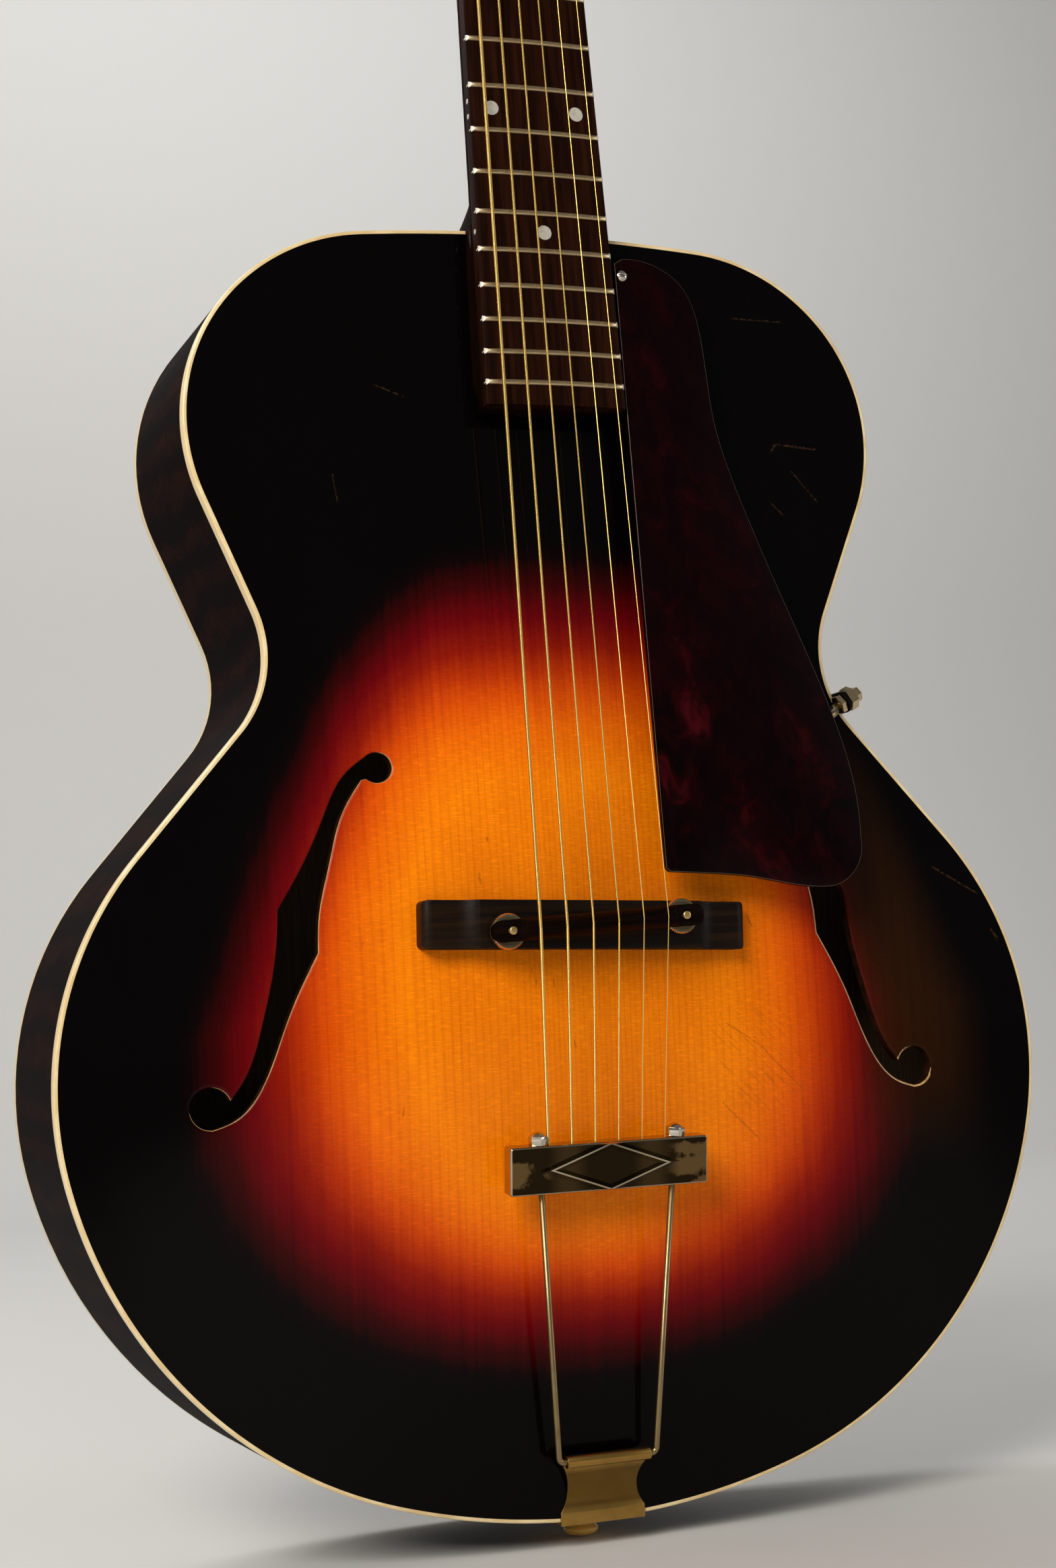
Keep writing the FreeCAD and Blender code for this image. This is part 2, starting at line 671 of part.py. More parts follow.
def head_bores():
    """Holes through the head for the bushings and posts, with the rod's pocket."""
    bore = float(D.post_radius + D.post_gap + D.bushing_wall) + 0.05
    cuts = [Part.makeCylinder(bore, HEAD_BACK + 20, V(x, -10, z), V(0, 1, 0)) for _, _, x, z in post_places()]
    half = float(D.pocket_width) / 2
    start = float(D.pocket_start)
    cuts.append(block(-half, half, -5, float(D.pocket_deep), start, start + float(D.pocket_run)))
    cuts += [Part.makeCylinder(0.95, 9, V(x, HEAD_BACK - 8, z), V(0, 1, 0)) for x, z in strip_screw_places()]
    cuts += [Part.makeCylinder(0.85, 8, V(x, -2, z), V(0, 1, 0)) for x, z in COVER_SCREWS]
    return cuts


def rod_bore(gap):
    """Truss rod channel in the neck frame, as a round bore."""
    radius = float(D.rod_radius) + gap
    end = NUT_Z + float(D.nut_thick) + 16.0
    return Part.makeCylinder(radius, float(D.rod_run), V(0, float(D.rod_deep), end - float(D.rod_run)),
                             V(0, 0, 1))


def make_neck():
    heel_z = -float(D.join_gap) - 1.0
    head_z = NUT_Z + float(D.nut_thick)
    shaft = Part.makeLoft([shaft_section(heel_z, 2 * board_half(heel_z), D.shaft_depth_heel),
                           shaft_section(head_z, D.nut_width, D.shaft_depth_nut)], True, True)
    end_z = head_z + 20.0
    throat = Part.makeLoft([shaft_section(head_z, D.nut_width, D.shaft_depth_nut),
                            shaft_section(end_z, D.nut_width * 0.93, D.shaft_depth_nut * 1.18)], True, True)
    face = float(D.veneer_thick)
    slab = placed(Part.Face(head_outline(-3.0)).extrude(V(0, float(D.head_thick), 0)), shift(y=face))
    above = block(-60, 60, -60, face, -20, 200)
    throat = throat.cut(placed(above, NECK.inverse().multiply(HEAD)))
    front = block(-60, 60, -60, 0, head_z - 40, head_z + 60)
    slab = placed(slab, NECK.inverse().multiply(HEAD)).cut(front)
    tongue = polygon([V(board_half(heel_z), 0, heel_z + 1), V(-board_half(heel_z), 0, heel_z + 1),
                      V(-board_half(BOARD_END), 0, BOARD_END), V(board_half(BOARD_END), 0, BOARD_END)],
                      V(0, 40, 0))
    tongue = placed(tongue, NECK).cut(front_slab(-float(D.seat_gap), 60))
    tongue = tongue.cut(block(-60, 60, FRONT - float(D.seat_gap), BACK, JOIN_Z - 120, JOIN_Z + 20))
    wood = placed(shaft, NECK).fuse([placed(throat, NECK), placed(slab, NECK)])
    levels = ((FRONT + 2.0, D.heel_width, D.heel_run), (FRONT + 14.0, D.heel_width - 1.5, D.heel_run - 22.0),
              (FRONT + 35.0, D.heel_width - 4.5, D.heel_run - 40.0),
              (BACK - 28.0, D.heel_end_width + 4.5, D.heel_end_run + 4.5),
              (BACK, D.heel_end_width, D.heel_end_run))
    heel = Part.makeLoft([heel_section(*level) for level in levels], True, False)
    heel = heel.cut(outline_prism(-float(D.joint_gap_wood), FRONT - 20, BACK + 20))
    body_side = outline_prism(-float(D.joint_gap_wood), FRONT - float(D.seat_gap), BACK + 20)
    wood = wood.cut(body_side).fuse([heel, tongue, tenon(0.0)])
    cuts = [placed(cut, HEAD) for cut in head_bores()] + [placed(rod_bore(float(D.rod_gap)), NECK)]
    feature("neck", wood.cut(cuts).removeSplitter())


def board_section(z):
    half = board_half(z)
    edge = board_top(half)
    top = Part.Arc(V(-half, edge, z), V(0, board_top(0), z), V(half, edge, z)).toShape()
    return Part.Wire([top, Part.makeLine(V(half, edge, z), V(half, 0, z)),
                      Part.makeLine(V(half, 0, z), V(-half, 0, z)),
                      Part.makeLine(V(-half, 0, z), V(-half, edge, z))])


def dot_places():
    """Inlay centres on the face, in the neck frame."""
    for number in DOT_FRETS:
        z = NUT_Z - 0.5 * (fret_place(number) + fret_place(number - 1))
        for x in ((-0.5, 0.5) if number == 12 else (0.0,)):
            yield x * float(D.dot_spread), z


def side_dot_places():
    for number in DOT_FRETS:
        z = NUT_Z - 0.5 * (fret_place(number) + fret_place(number - 1))
        for step in ((-3.2, 3.2) if number == 12 else (0.0,)):
            yield z + step


def make_board():
    board = Part.makeLoft([board_section(NUT_Z), board_section(BOARD_END)], True, True)
    deep = float(D.dot_deep)
    plugs = [Part.makeCylinder(float(D.dot_radius), 8, V(x, board_top(x) + deep, z), V(0, -1, 0))
             for x, z in dot_places()]
    level = -float(D.board_thick) * 0.45
    plugs += [Part.makeCylinder(float(D.side_dot_radius), 8, V(deep - board_half(z), level, z), V(-1, 0, 0))
              for z in side_dot_places()]
    feature("fingerboard", board.cut(plugs), NECK)
    feature("position_dots", Part.makeCompound([plug.common(board) for plug in plugs]), NECK)


def fret(number):
    """One fret: a crowned bar bent to the fingerboard's round."""
    z = NUT_Z - fret_place(number)
    half = board_half(z)
    radius = float(D.board_radius)
    wide = float(D.fret_width) / 2
    tall = float(D.fret_height)
    low = -float(D.board_thick)
    start = math.degrees(math.asin(half / radius))
    section = [V(0, low, z - wide), V(0, low - tall * 0.6, z - wide * 0.8), V(0, low - tall, z - wide * 0.25),
               V(0, low - tall, z + wide * 0.25), V(0, low - tall * 0.6, z + wide * 0.8), V(0, low, z + wide)]
    profile = Part.Face(Part.makePolygon(section + section[:1]))
    axis = V(0, low + radius, 0)
    profile.rotate(axis, V(0, 0, 1), -start)
    return profile.revolve(axis, V(0, 0, 1), 2 * start)


def string_line(start, end, radius, extra=0.0):
    run = end - start
    run.normalize()
    return Part.makeCylinder(radius, (end - start).Length + 2 * extra, start - run * extra, run)


def make_nut():
    half = float(D.nut_width) / 2
    top = board_top(0) - float(D.nut_rise)
    edge = board_top(half) - float(D.nut_rise)
    z0 = NUT_Z
    back = float(D.nut_thick)
    profile = Part.Wire([Part.Arc(V(-half, edge, z0), V(0, top, z0), V(half, edge, z0)).toShape(),
                         Part.makeLine(V(half, edge, z0), V(half, 0, z0)),
                         Part.makeLine(V(half, 0, z0), V(-half, 0, z0)),
                         Part.makeLine(V(-half, 0, z0), V(-half, edge, z0))])
    bar = Part.Face(profile).extrude(V(0, 0, back))
    slope = polygon([V(-half - 1, top - 1, z0 + back * 0.3), V(-half - 1, top - 1, z0 + back + 1),
                     V(-half - 1, edge + 2.4, z0 + back + 1)], V(2 * half + 2, 0, 0))
    bar = placed(bar.cut(slope), NECK)
    slots = []
    for number in range(1, 7):
        radius = STRING_RADII[number - 1] + 0.06
        nut = string_at_nut(number)
        slots.append(string_line(string_at_saddle(number), nut, radius, 2.0))
        slots.append(string_line(nut, string_at_post(number), radius, 0.0))
    feature("nut", bar.cut(slots))


def string_at_post(number):
    """Where a string meets the inner side of its tuner post."""
    for other, side, x, z in post_places():
        if other == number:
            reach = float(D.post_radius) + STRING_RADII[number - 1] + 0.25
            return HEAD.multVec(V(x - side * reach, -5.0, z))
    raise RuntimeError("no post for string %d" % number)


def make_veneer():
    start = float(D.veneer_thick) * math.tan(math.radians(float(D.head_angle))) + float(D.glue_line)
    leaf = Part.Face(head_outline(start)).extrude(V(0, float(D.veneer_thick), 0))
    half = float(D.pocket_width) / 2
    start = float(D.pocket_start)
    pocket = block(-half, half, -5, 5, start, start + float(D.pocket_run))
    bore = float(D.post_radius + D.post_gap + D.bushing_wall) + 0.05
    cuts = [Part.makeCylinder(bore, 20, V(x, -10, z), V(0, 1, 0)) for _, _, x, z in post_places()]
    cuts += [Part.makeCylinder(0.85, 8, V(x, -2, z), V(0, 1, 0)) for x, z in COVER_SCREWS]
    feature("head_veneer", leaf.cut([pocket] + cuts), HEAD)


def make_truss_rod():
    feature("truss_rod", rod_bore(0.0), NECK)
    body = new_body("truss_rod_nut")
    sketch = new_sketch(body, "XY_Plane")
    reach = D.rod_nut_flat / math.sqrt(3)
    add_loop(sketch, [(reach * math.cos(math.radians(60 * k)), reach * math.sin(math.radians(60 * k)))
                      for k in range(6)])
    add_pad(body, sketch, D.rod_nut_thick)
    hole = new_sketch(body, "XY_Plane")
    add_circle(hole, 0, 0, D.rod_radius + D.rod_gap)
    add_pocket(body, hole)
    z = NUT_Z + float(D.nut_thick) + 6.0
    body.Placement = NECK.multiply(shift(0, float(D.rod_deep), z))
    keep(body, "truss_rod_nut")


def make_rod_cover():
    """Plain shield-shaped cover over the rod's pocket."""
    body = new_body("truss_rod_cover")
    sketch = new_sketch(body, "XZ_Plane")
    half = D.cover_width / 2
    run = D.cover_run
    add_loop(sketch, [(-half, 2.5), (half, 2.5), (half, run * 0.45), (half * 0.62, run * 0.78),
                      (half * 0.3, run + 2.5),
                      (-half * 0.3, run + 2.5), (-half * 0.62, run * 0.78), (-half, run * 0.45)])
    add_pad(body, sketch, D.cover_thick)
    holes = new_sketch(body, "XZ_Plane")
    for x, z in COVER_SCREWS:
        add_circle(holes, x, z, 0.85)
    add_pocket(body, holes)
    body.Placement = HEAD
    keep(body, "truss_rod_cover")


def screw(head_radius, head_rise, shank_radius, shank):
    """Dome-headed screw along +Z, its head below the origin."""
    dome = Part.makeSphere((head_radius ** 2 + head_rise ** 2) / (2 * head_rise))
    dome = placed(dome, shift(z=(head_radius ** 2 + head_rise ** 2) / (2 * head_rise) - head_rise))
    dome = dome.common(block(-20, 20, -20, 20, -head_rise, 0))
    slot = block(-20, 20, -0.35, 0.35, -head_rise - 1, -head_rise * 0.45)
    return dome.cut(slot).fuse(Part.makeCylinder(shank_radius, shank)).removeSplitter()


def make_head_screws():
    to_back = turn(V(1, 0, 0), -90)
    small = screw(1.9, 1.0, 0.8, 6.5)
    level = -float(D.cover_thick)
    feature("cover_screws", Part.makeCompound(
        [placed(small, shift(x, level, z).multiply(to_back)) for x, z in COVER_SCREWS]), HEAD)
    strip = screw(2.1, 1.2, 0.9, 7.0)
    to_front = turn(V(1, 0, 0), 90)
    level = HEAD_BACK + float(D.strip_thick)
    feature("tuner_screws", Part.makeCompound(
        [placed(strip, shift(x, level, z).multiply(to_front)) for x, z in strip_screw_places()]), HEAD)


# Tuners: a strip each side with three worms, gears and posts


def worm_place(side, x, z):
    """Worm axis of a tuner in the head frame: behind the strip, above its gear."""
    reach = float(D.gear_radius + D.worm_radius + D.shaft_gap)
    return V(x, HEAD_BACK + float(D.strip_thick) + 1.4 + float(D.gear_thick) / 2, z + reach)


def make_strips():
    strips = []
    thick = float(D.strip_thick)
    half = float(D.strip_width) / 2
    past = float(D.strip_past)
    span = float(D.ear_span) / 2
    wall = float(D.ear_thick)
    ear = float(D.ear_width) / 2
    for side in (1, -1):
        own = [place for place in post_places() if place[1] == side]
        low = own[0][3] - past
        high = own[-1][3] + past + 8.0
        x = own[0][2]
        plate = block(x - half, x + half, HEAD_BACK, HEAD_BACK + thick, low, high)
        cuts = []
        for _, _, px, pz in own:
            worm = worm_place(side, px, pz)
            for edge in (-1, 1):
                ex = px + edge * span
                rise = block(ex - wall / 2, ex + wall / 2, HEAD_BACK, worm.y + ear, worm.z - ear,
                             worm.z + ear)
                plate = plate.fuse(rise)
            cuts.append(Part.makeCylinder(float(D.shaft_radius + D.shaft_gap), 40,
                                          V(px - 20, worm.y, worm.z), V(1, 0, 0)))
            cuts.append(Part.makeCylinder(float(D.post_radius + D.post_gap), 20, V(px, HEAD_BACK - 10, pz),
                                          V(0, 1, 0)))
        cuts += [Part.makeCylinder(0.95, 20, V(sx, HEAD_BACK - 10, sz), V(0, 1, 0)) for sx,
                 sz in strip_screw_places()]
        strips.append(plate.cut(cuts).removeSplitter())
    feature("tuner_strips", Part.makeCompound(strips), HEAD)


def make_bushings():
    inner = D.post_radius + D.post_gap
    outer = inner + D.bushing_wall
    rim = outer + D.bushing_flange
    one = revolved("bushing_form", [(inner, -D.bushing_rise), (rim - 0.5, -D.bushing_rise), (rim, 0.0),
                                    (outer, 0.0),
                                    (outer, D.bushing_deep), (inner, D.bushing_deep)])
    to_back = turn(V(1, 0, 0), -90)
    feature("tuner_bushings", Part.makeCompound(
        [placed(one.Shape, shift(x, 0, z).multiply(to_back)) for _, _, x, z in post_places()]), HEAD)


def gear_shape():
    """Worm wheel with straight teeth about +Z."""
    count = int(float(D.gear_teeth))
    outer = float(D.gear_radius)
    root = outer - 1.1
    points = []
    for tooth in range(count):
        for share, radius in ((0.0, root), (0.3, root), (0.42, outer), (0.88, outer)):
            angle = 2 * math.pi * (tooth + share) / count
            points.append(V(radius * math.cos(angle), radius * math.sin(angle), 0))
    return polygon(points, V(0, 0, float(D.gear_thick)))


def make_tuners():
    post_form = revolved("post_form", [
        (0.0, -D.post_rise), (D.post_radius - 0.5, -D.post_rise), (D.post_radius, -D.post_rise + 0.8),
        (D.post_radius, -D.post_rise + 3.5), (D.post_radius - 0.35, -D.post_rise * 0.5),
        (D.post_radius, -D.bushing_rise - 0.8),
        (D.post_radius, D.veneer_thick + D.head_thick + D.strip_thick + 1.4),
        (0.0, D.veneer_thick + D.head_thick + D.strip_thick + 1.4)])
    gear = placed(gear_shape(), shift(z=HEAD_BACK + float(D.strip_thick) + 1.4))
    cap = screw(2.3, 1.2, 1.0, 0.4)
    cap = placed(cap, shift(z=HEAD_BACK + float(D.strip_thick) + 1.4 + float(D.gear_thick)).multiply(
        turn(V(1, 0, 0), 180)))
    hole = Part.makeCylinder(0.9, 20, V(-10, 0, 5.0 - float(D.post_rise)), V(1, 0, 0))
    post = post_form.Shape.cut(hole).fuse(gear).fuse(cap).removeSplitter()
    half = D.ear_span / 2
    stop = half + D.ear_thick / 2 + 0.3
    run = half - D.ear_thick / 2 - 0.3
    reach = D.post_inset + D.key_reach
    worm_form = revolved("worm_form", [
        (0.0, -stop - 0.6), (D.shaft_radius, -stop - 0.6), (D.shaft_radius, -run), (D.worm_radius, -run),
        (D.worm_radius, run),
        (D.shaft_radius, run), (D.shaft_radius, reach), (D.shaft_radius * 1.5, reach + 0.4),
        (D.shaft_radius * 1.5, reach + 1.6), (D.shaft_radius * 0.8, reach + 2.0),
        (D.shaft_radius * 0.8, reach + 9.0), (0.0, reach + 9.0)])
    oval = Part.Ellipse(V(0, 0, 0), float(D.key_width) / 2, float(D.key_length) / 2).toShape()
    knob = Part.Face(Part.Wire(oval)).extrude(V(0, 0, float(D.key_thick)))
    knob = knob.makeFillet(float(D.key_thick) * 0.3, [knob.Edges[0], knob.Edges[2]])
    mid = float(reach) + 2.0 + float(D.key_length) / 2
    knob = placed(knob, FreeCAD.Placement(V(0, -float(D.key_thick) / 2, mid),
                                          FreeCAD.Rotation(V(1, 0, 0), -90)))
    knob = knob.cut(Part.makeCylinder(float(D.shaft_radius) * 0.8 + 0.05, 9.2 - 2.0,
                                      V(0, 0, float(reach) + 1.9)))
    to_back = turn(V(1, 0, 0), -90)
    for number, side, x, z in post_places():
        feature("tuner_post_%d" % number, post, HEAD.multiply(shift(x, 0, z)).multiply(to_back))
        worm = worm_place(side, x, z)
        outward = turn(V(0, 1, 0), 90 * side)
        place = HEAD.multiply(shift(worm.x, worm.y, worm.z)).multiply(outward)
        feature("tuner_worm_%d" % number, worm_form.Shape, place)
        feature("tuner_key_%d" % number, knob, place)


# Bridge


def wheel_low():
    """Level of the wheels' underside above the crest of the top."""
    return D.base_height + D.wheel_gap


def make_bridge_base():
    half = float(D.base_length) / 2
    wide = float(D.base_width) / 2
    corner = float(D.base_corner)
    tall = float(D.base_height)
    wing = float(D.wing_height)
    deck = float(D.stud_span) / 2 + float(D.wheel_radius) + 2.5
    dip = deck + (half - deck) * 0.45
    bar = block(-half, half, -tall, 12, -wide, wide)
    bar = bar.makeFillet(corner, [e for e in bar.Edges if abs(e.Vertexes[0].Y - e.Vertexes[-1].Y) > 1])
    rim = half - float(D.base_roll)
    lip = wing * 0.45
    scoop = Part.Wire([
        Part.Arc(V(deck, -tall, -wide), V(deck + (dip - deck) * 0.35, -wing - (tall - wing) * 0.3, -wide),
                 V(dip, -wing, -wide)).toShape(),
        Part.makeLine(V(dip, -wing, -wide), V(rim, -wing, -wide)),
        Part.Arc(V(rim, -wing, -wide), V(rim + (half + 0.5 - rim) * 0.65, -wing + (wing - lip) * 0.3, -wide),
                 V(half + 0.5, -lip, -wide)).toShape(),
        Part.makeLine(V(half + 0.5, -lip, -wide), V(half + 0.5, -tall - 1, -wide)),
        Part.makeLine(V(half + 0.5, -tall - 1, -wide), V(deck, -tall - 1, -wide)),
        Part.makeLine(V(deck, -tall - 1, -wide), V(deck, -tall, -wide))])
    relief = Part.Face(scoop).extrude(V(0, 0, 2 * wide))
    bar = bar.cut([relief, mirrored(relief)])
    stand = shift(0, CREST_Y, BRIDGE_Z).multiply(turn(V(0, 1, 0), float(D.base_turn)))
    bar = placed(bar, stand).cut(front_slab(-float(D.seat_gap), 60))
    bores = []
    for side in (-1, 1):
        bore = Part.makeCylinder(float(D.stud_radius), float(D.stud_sink),
                                 V(side * float(D.stud_span) / 2, -tall, 0), V(0, 1, 0))
        bores.append(placed(bore, SADDLE))
    feature("bridge_base", bar.cut(bores))


def make_studs():
    foot = D.base_height - D.stud_sink
    tip = wheel_low() + D.wheel_thick + D.saddle_tab + 0.8
    studs = []
    for side in (-1, 1):
        stud = DOC.addObject("Part::Cylinder", "stud")
        stud.setExpression("Radius", D.stud_radius.text)
        stud.setExpression("Height", (tip - foot).text)
        DOC.recompute()
        place = SADDLE.multiply(shift(side * float(D.stud_span) / 2, -float(foot),
                                      0)).multiply(turn(V(1, 0, 0), 90))
        studs.append(placed(stud.Shape, place))
    feature("bridge_studs", Part.makeCompound(studs))


def make_wheel(label, side):
    body = new_body(label)
    sketch = new_sketch(body, "XY_Plane")
    add_circle(sketch, 0, 0, D.wheel_radius)
    add_pad(body, sketch, D.wheel_thick)
    hole = new_sketch(body, "XY_Plane")
    add_circle(hole, 0, 0, D.stud_radius + D.stud_gap)
    add_pocket(body, hole)
    notch = new_sketch(body, "XY_Plane")
    deep = D.wheel_radius - 0.5
    add_loop(notch, [(deep, 0.0), (D.wheel_radius + 0.4, -0.75), (D.wheel_radius + 0.4, 0.75)])
    cut = add_pocket(body, notch)
    knurl = body.newObject("PartDesign::PolarPattern", label + "_knurl")
    knurl.Originals = [cut]
    knurl.Axis = (sketch, ["N_Axis"])
    knurl.Angle = 360
    knurl.setExpression("Occurrences", D.wheel_notches.text)
    body.Tip = knurl
    DOC.recompute()
    place = SADDLE.multiply(shift(side * float(D.stud_span) / 2, -float(wheel_low()), 0))
    body.Placement = place.multiply(turn(V(1, 0, 0), 90))
    keep(body, label)


def make_saddle():
    """Wooden saddle: tabs over the wheels and a wedge-shaped crest for the strings."""
    low = float(wheel_low() + D.wheel_thick) + float(D.seat_gap)
    half = float(D.saddle_length) / 2
    crest = float(D.crest_length) / 2
    wide = float(D.saddle_width) / 2
    tab = low + float(D.saddle_tab)
    place = SADDLE.inverse()
    seats = []
    for number in range(6, 0, -1):
        point = place.multVec(string_at_saddle(number))
        seats.append((point.x, -point.y - STRING_RADII[number - 1] - float(D.string_seat)))
    left, right = seats[0], seats[-1]
    top = [V(-crest, -left[1] + 0.8, -wide)] + [V(x, -height, -wide) for x,
                                                height in seats] + [V(crest, -right[1] + 0.8, -wide)]
    profile = Part.Wire([
        spline(top), Part.makeLine(top[-1], V(crest + 1.8, -tab, -wide)),
        Part.makeLine(V(crest + 1.8, -tab, -wide), V(half, -tab + 0.8, -wide)),
        Part.makeLine(V(half, -tab + 0.8, -wide), V(half, -low, -wide)),
        Part.makeLine(V(half, -low, -wide), V(-half, -low, -wide)),
        Part.makeLine(V(-half, -low, -wide), V(-half, -tab + 0.8, -wide)),
        Part.makeLine(V(-half, -tab + 0.8, -wide), V(-crest - 1.8, -tab, -wide)),
        Part.makeLine(V(-crest - 1.8, -tab, -wide), top[0])])
    bar = Part.Face(profile).extrude(V(0, 0, 2 * wide))
    tips = [e for e in bar.Edges if min(abs(v.X) for v in e.Vertexes) > half - 0.01]
    ends = [e for e in tips if e.BoundBox.ZLength < 0.01]
    bar = bar.makeFillet(float(D.saddle_round), ends)
    thin = float(D.crest_width) / 2
    peak = max(height for _, height in seats) + 0.2
    cuts = []
    for side in (-1, 1):
        cuts.append(polygon([V(-half, -tab, side * wide), V(-half, -peak - 1, side * thin),
                             V(-half, -peak - 1, side * (wide + 2)),
                             V(-half, -tab, side * (wide + 2))], V(2 * half, 0, 0)))
        cuts.append(Part.makeCylinder(float(D.stud_radius + D.stud_gap), 40,
                                      V(side * float(D.stud_span) / 2, -40, 0), V(0, 1, 0)))
    for number in range(1, 7):
        radius = STRING_RADII[number - 1] + float(D.string_seat)
        crest = string_at_saddle(number)
        for end in (string_at_nut(number), string_ball(number)):
            cuts.append(placed(string_line(crest, crest + (end - crest).normalize() * 12.0, radius, 0.3),
                               place))
    feature("saddle", bar.cut(cuts), SADDLE)


# Tailpiece


def bracket_profile():
    """Side view of the bent bracket, as a centre line in (y, z)."""
    half = float(D.bracket_thick) / 2
    skin = FRONT - half
    foot = -half
    knee = float(D.bracket_knee)
    return (FRONT + float(D.flange_run), foot), (skin, foot), (skin, knee), (BARREL.y, BARREL.z)


def make_bracket():
    thick = float(D.bracket_thick)
    bore = float(D.trapeze_radius + D.trapeze_gap)
    roll = bore + float(D.barrel_wall)
    long = float(D.barrel_length) / 2
    edge, corner, knee, axle = bracket_profile()
    skin = FRONT
    wide = float(D.bracket_width) / 2
    waist = float(D.bracket_waist) / 2
    bend = thick * 0.9
    turned = bend * (1 - math.sqrt(0.5))
    inner = V(0, skin, knee[1])
    outer = V(0, skin - thick, knee[1])
    face = skin - thick
    fold = [V(0, edge[0], -thick), V(0, edge[0], 0), V(0, skin, 0), inner, outer, V(0, face, bend - thick)]
    heel = V(0, face + bend, -thick)
    angle = Part.Wire(Part.makePolygon(fold).Edges + [
        Part.Arc(fold[-1], V(0, face + turned, turned - thick), heel).toShape(),
        Part.makeLine(heel, fold[0])])
    run = axle[1] - knee[1]
    lip_in = V(0, axle[0] + roll, axle[1])
    lip_out = V(0, axle[0] + roll - thick, axle[1] - 1.0)
    hollow = V(0, skin - float(D.leaf_sag), knee[1] + 0.555 * run)
    bow = Part.Wire([
        Part.Arc(inner, hollow, lip_in).toShape(), Part.makeLine(lip_in, lip_out),
        Part.Arc(lip_out, hollow - V(0, thick, 0.3), outer).toShape(), Part.makeLine(outer, inner)])
    across = V(2 * wide, 0, 0)
    flange, leaf = [placed(Part.Face(wire), shift(x=-wide)).extrude(across) for wire in (angle, bow)]
    tube = Part.makeCylinder(roll, 2 * long, V(-long, axle[0], axle[1]), V(1, 0, 0))
    sheet = flange.fuse([leaf, tube]).cut(
        Part.makeCylinder(bore, 2 * long + 2, V(-long - 1, axle[0], axle[1]), V(1, 0, 0)))
    cuts = []
    low = knee[1] + 0.2
    high = axle[1] - 2.2
    middle = low + 0.555 * (high - low)
    for side in (-1, 1):
        near = side * wide
        far = side * (wide + 4)
        deep = V(side * waist, -80, middle)
        pinch = Part.Wire([Part.Arc(V(near, -80, low), deep, V(near, -80, high)).toShape(),
                           Part.makeLine(V(near, -80, high), V(far, -80, high)),
                           Part.makeLine(V(far, -80, high), V(far, -80, low)),
                           Part.makeLine(V(far, -80, low), V(near, -80, low))])
        cuts.append(Part.Face(pinch).extrude(V(0, 80, 0)))
    cuts.append(Part.makeCylinder(float(D.peg_radius + D.trapeze_gap), 20, V(0, 0, -10), V(0, 0, 1)))
    cuts += [Part.makeCylinder(1.3, 20, V(x, y, -10), V(0, 0, 1)) for x, y in bracket_screw_places()]
    beyond = block(-60, 60, FRONT - 40, FRONT + 10, knee[1], 60)
    cuts.append(front_slab(-float(D.seat_gap), 20).common(beyond))
    feature("tail_bracket", sheet.cut(cuts).removeSplitter())
    screws = [placed(screw(2.8, 1.6, 1.2, 14.0), shift(x, y, -thick)) for x, y in bracket_screw_places()]
    feature("bracket_screws", Part.makeCompound(screws))


def bracket_screw_places():
    side = float(D.bracket_width) / 2 - 5.5
    return ((-side, FRONT + 11.0), (side, FRONT + 11.0), (0.0, FRONT + float(D.flange_run) - 5.0))


def bracket_screw_bores():
    """Pilot holes for the bracket's screws through the rim."""
    return [Part.makeCylinder(1.2 + float(D.peg_gap), 40, V(x, y, -10), V(0, 0, 1)) for x,
            y in bracket_screw_places()]


def bent_path(points, radius):
    """Straight runs joined by tangent arcs of one radius."""
    edges = []
    start = points[0]
    for before, corner, after in zip(points, points[1:], points[2:]):
        back = (before - corner).normalize()
        on = (after - corner).normalize()
        angle = back.getAngle(on)
        cut = radius / math.tan(angle / 2)
        middle = (back + on).normalize()
        a = corner + back * cut
        b = corner + on * cut
        top = corner + middle * (radius / math.sin(angle / 2) - radius)
        edges += [Part.makeLine(start, a), Part.Arc(a, top, b).toShape()]
        start = b
    edges.append(Part.makeLine(start, points[-1]))
    return Part.Wire(edges)


def tube_along(path, radius):
    start = path.Edges[0]
    heading = start.tangentAt(start.FirstParameter)
    ring = Part.Wire(Part.makeCircle(radius, start.valueAt(start.FirstParameter), heading))
    return path.makePipeShell([ring], True, False)


def plate_top():
    return D.tail_plate_low + D.tail_plate_height


def arm_x(z):
    """Half gap between the trapeze arms at a height above the hinge."""
    foot = float(D.trapeze_foot) / 2
    head = float(D.trapeze_head) / 2
    return foot + (head - foot) * z / float(plate_top())


def make_trapeze():
    tip = float(plate_top()) + float(D.cap_thick)
    foot = float(D.trapeze_foot) / 2
    path = bent_path([V(-arm_x(tip), 0, tip), V(-foot, 0, 0), V(foot, 0, 0), V(arm_x(tip), 0, tip)],
                     float(D.trapeze_bend))
    feature("trapeze_rod", tube_along(path, float(D.trapeze_radius)), TAIL)


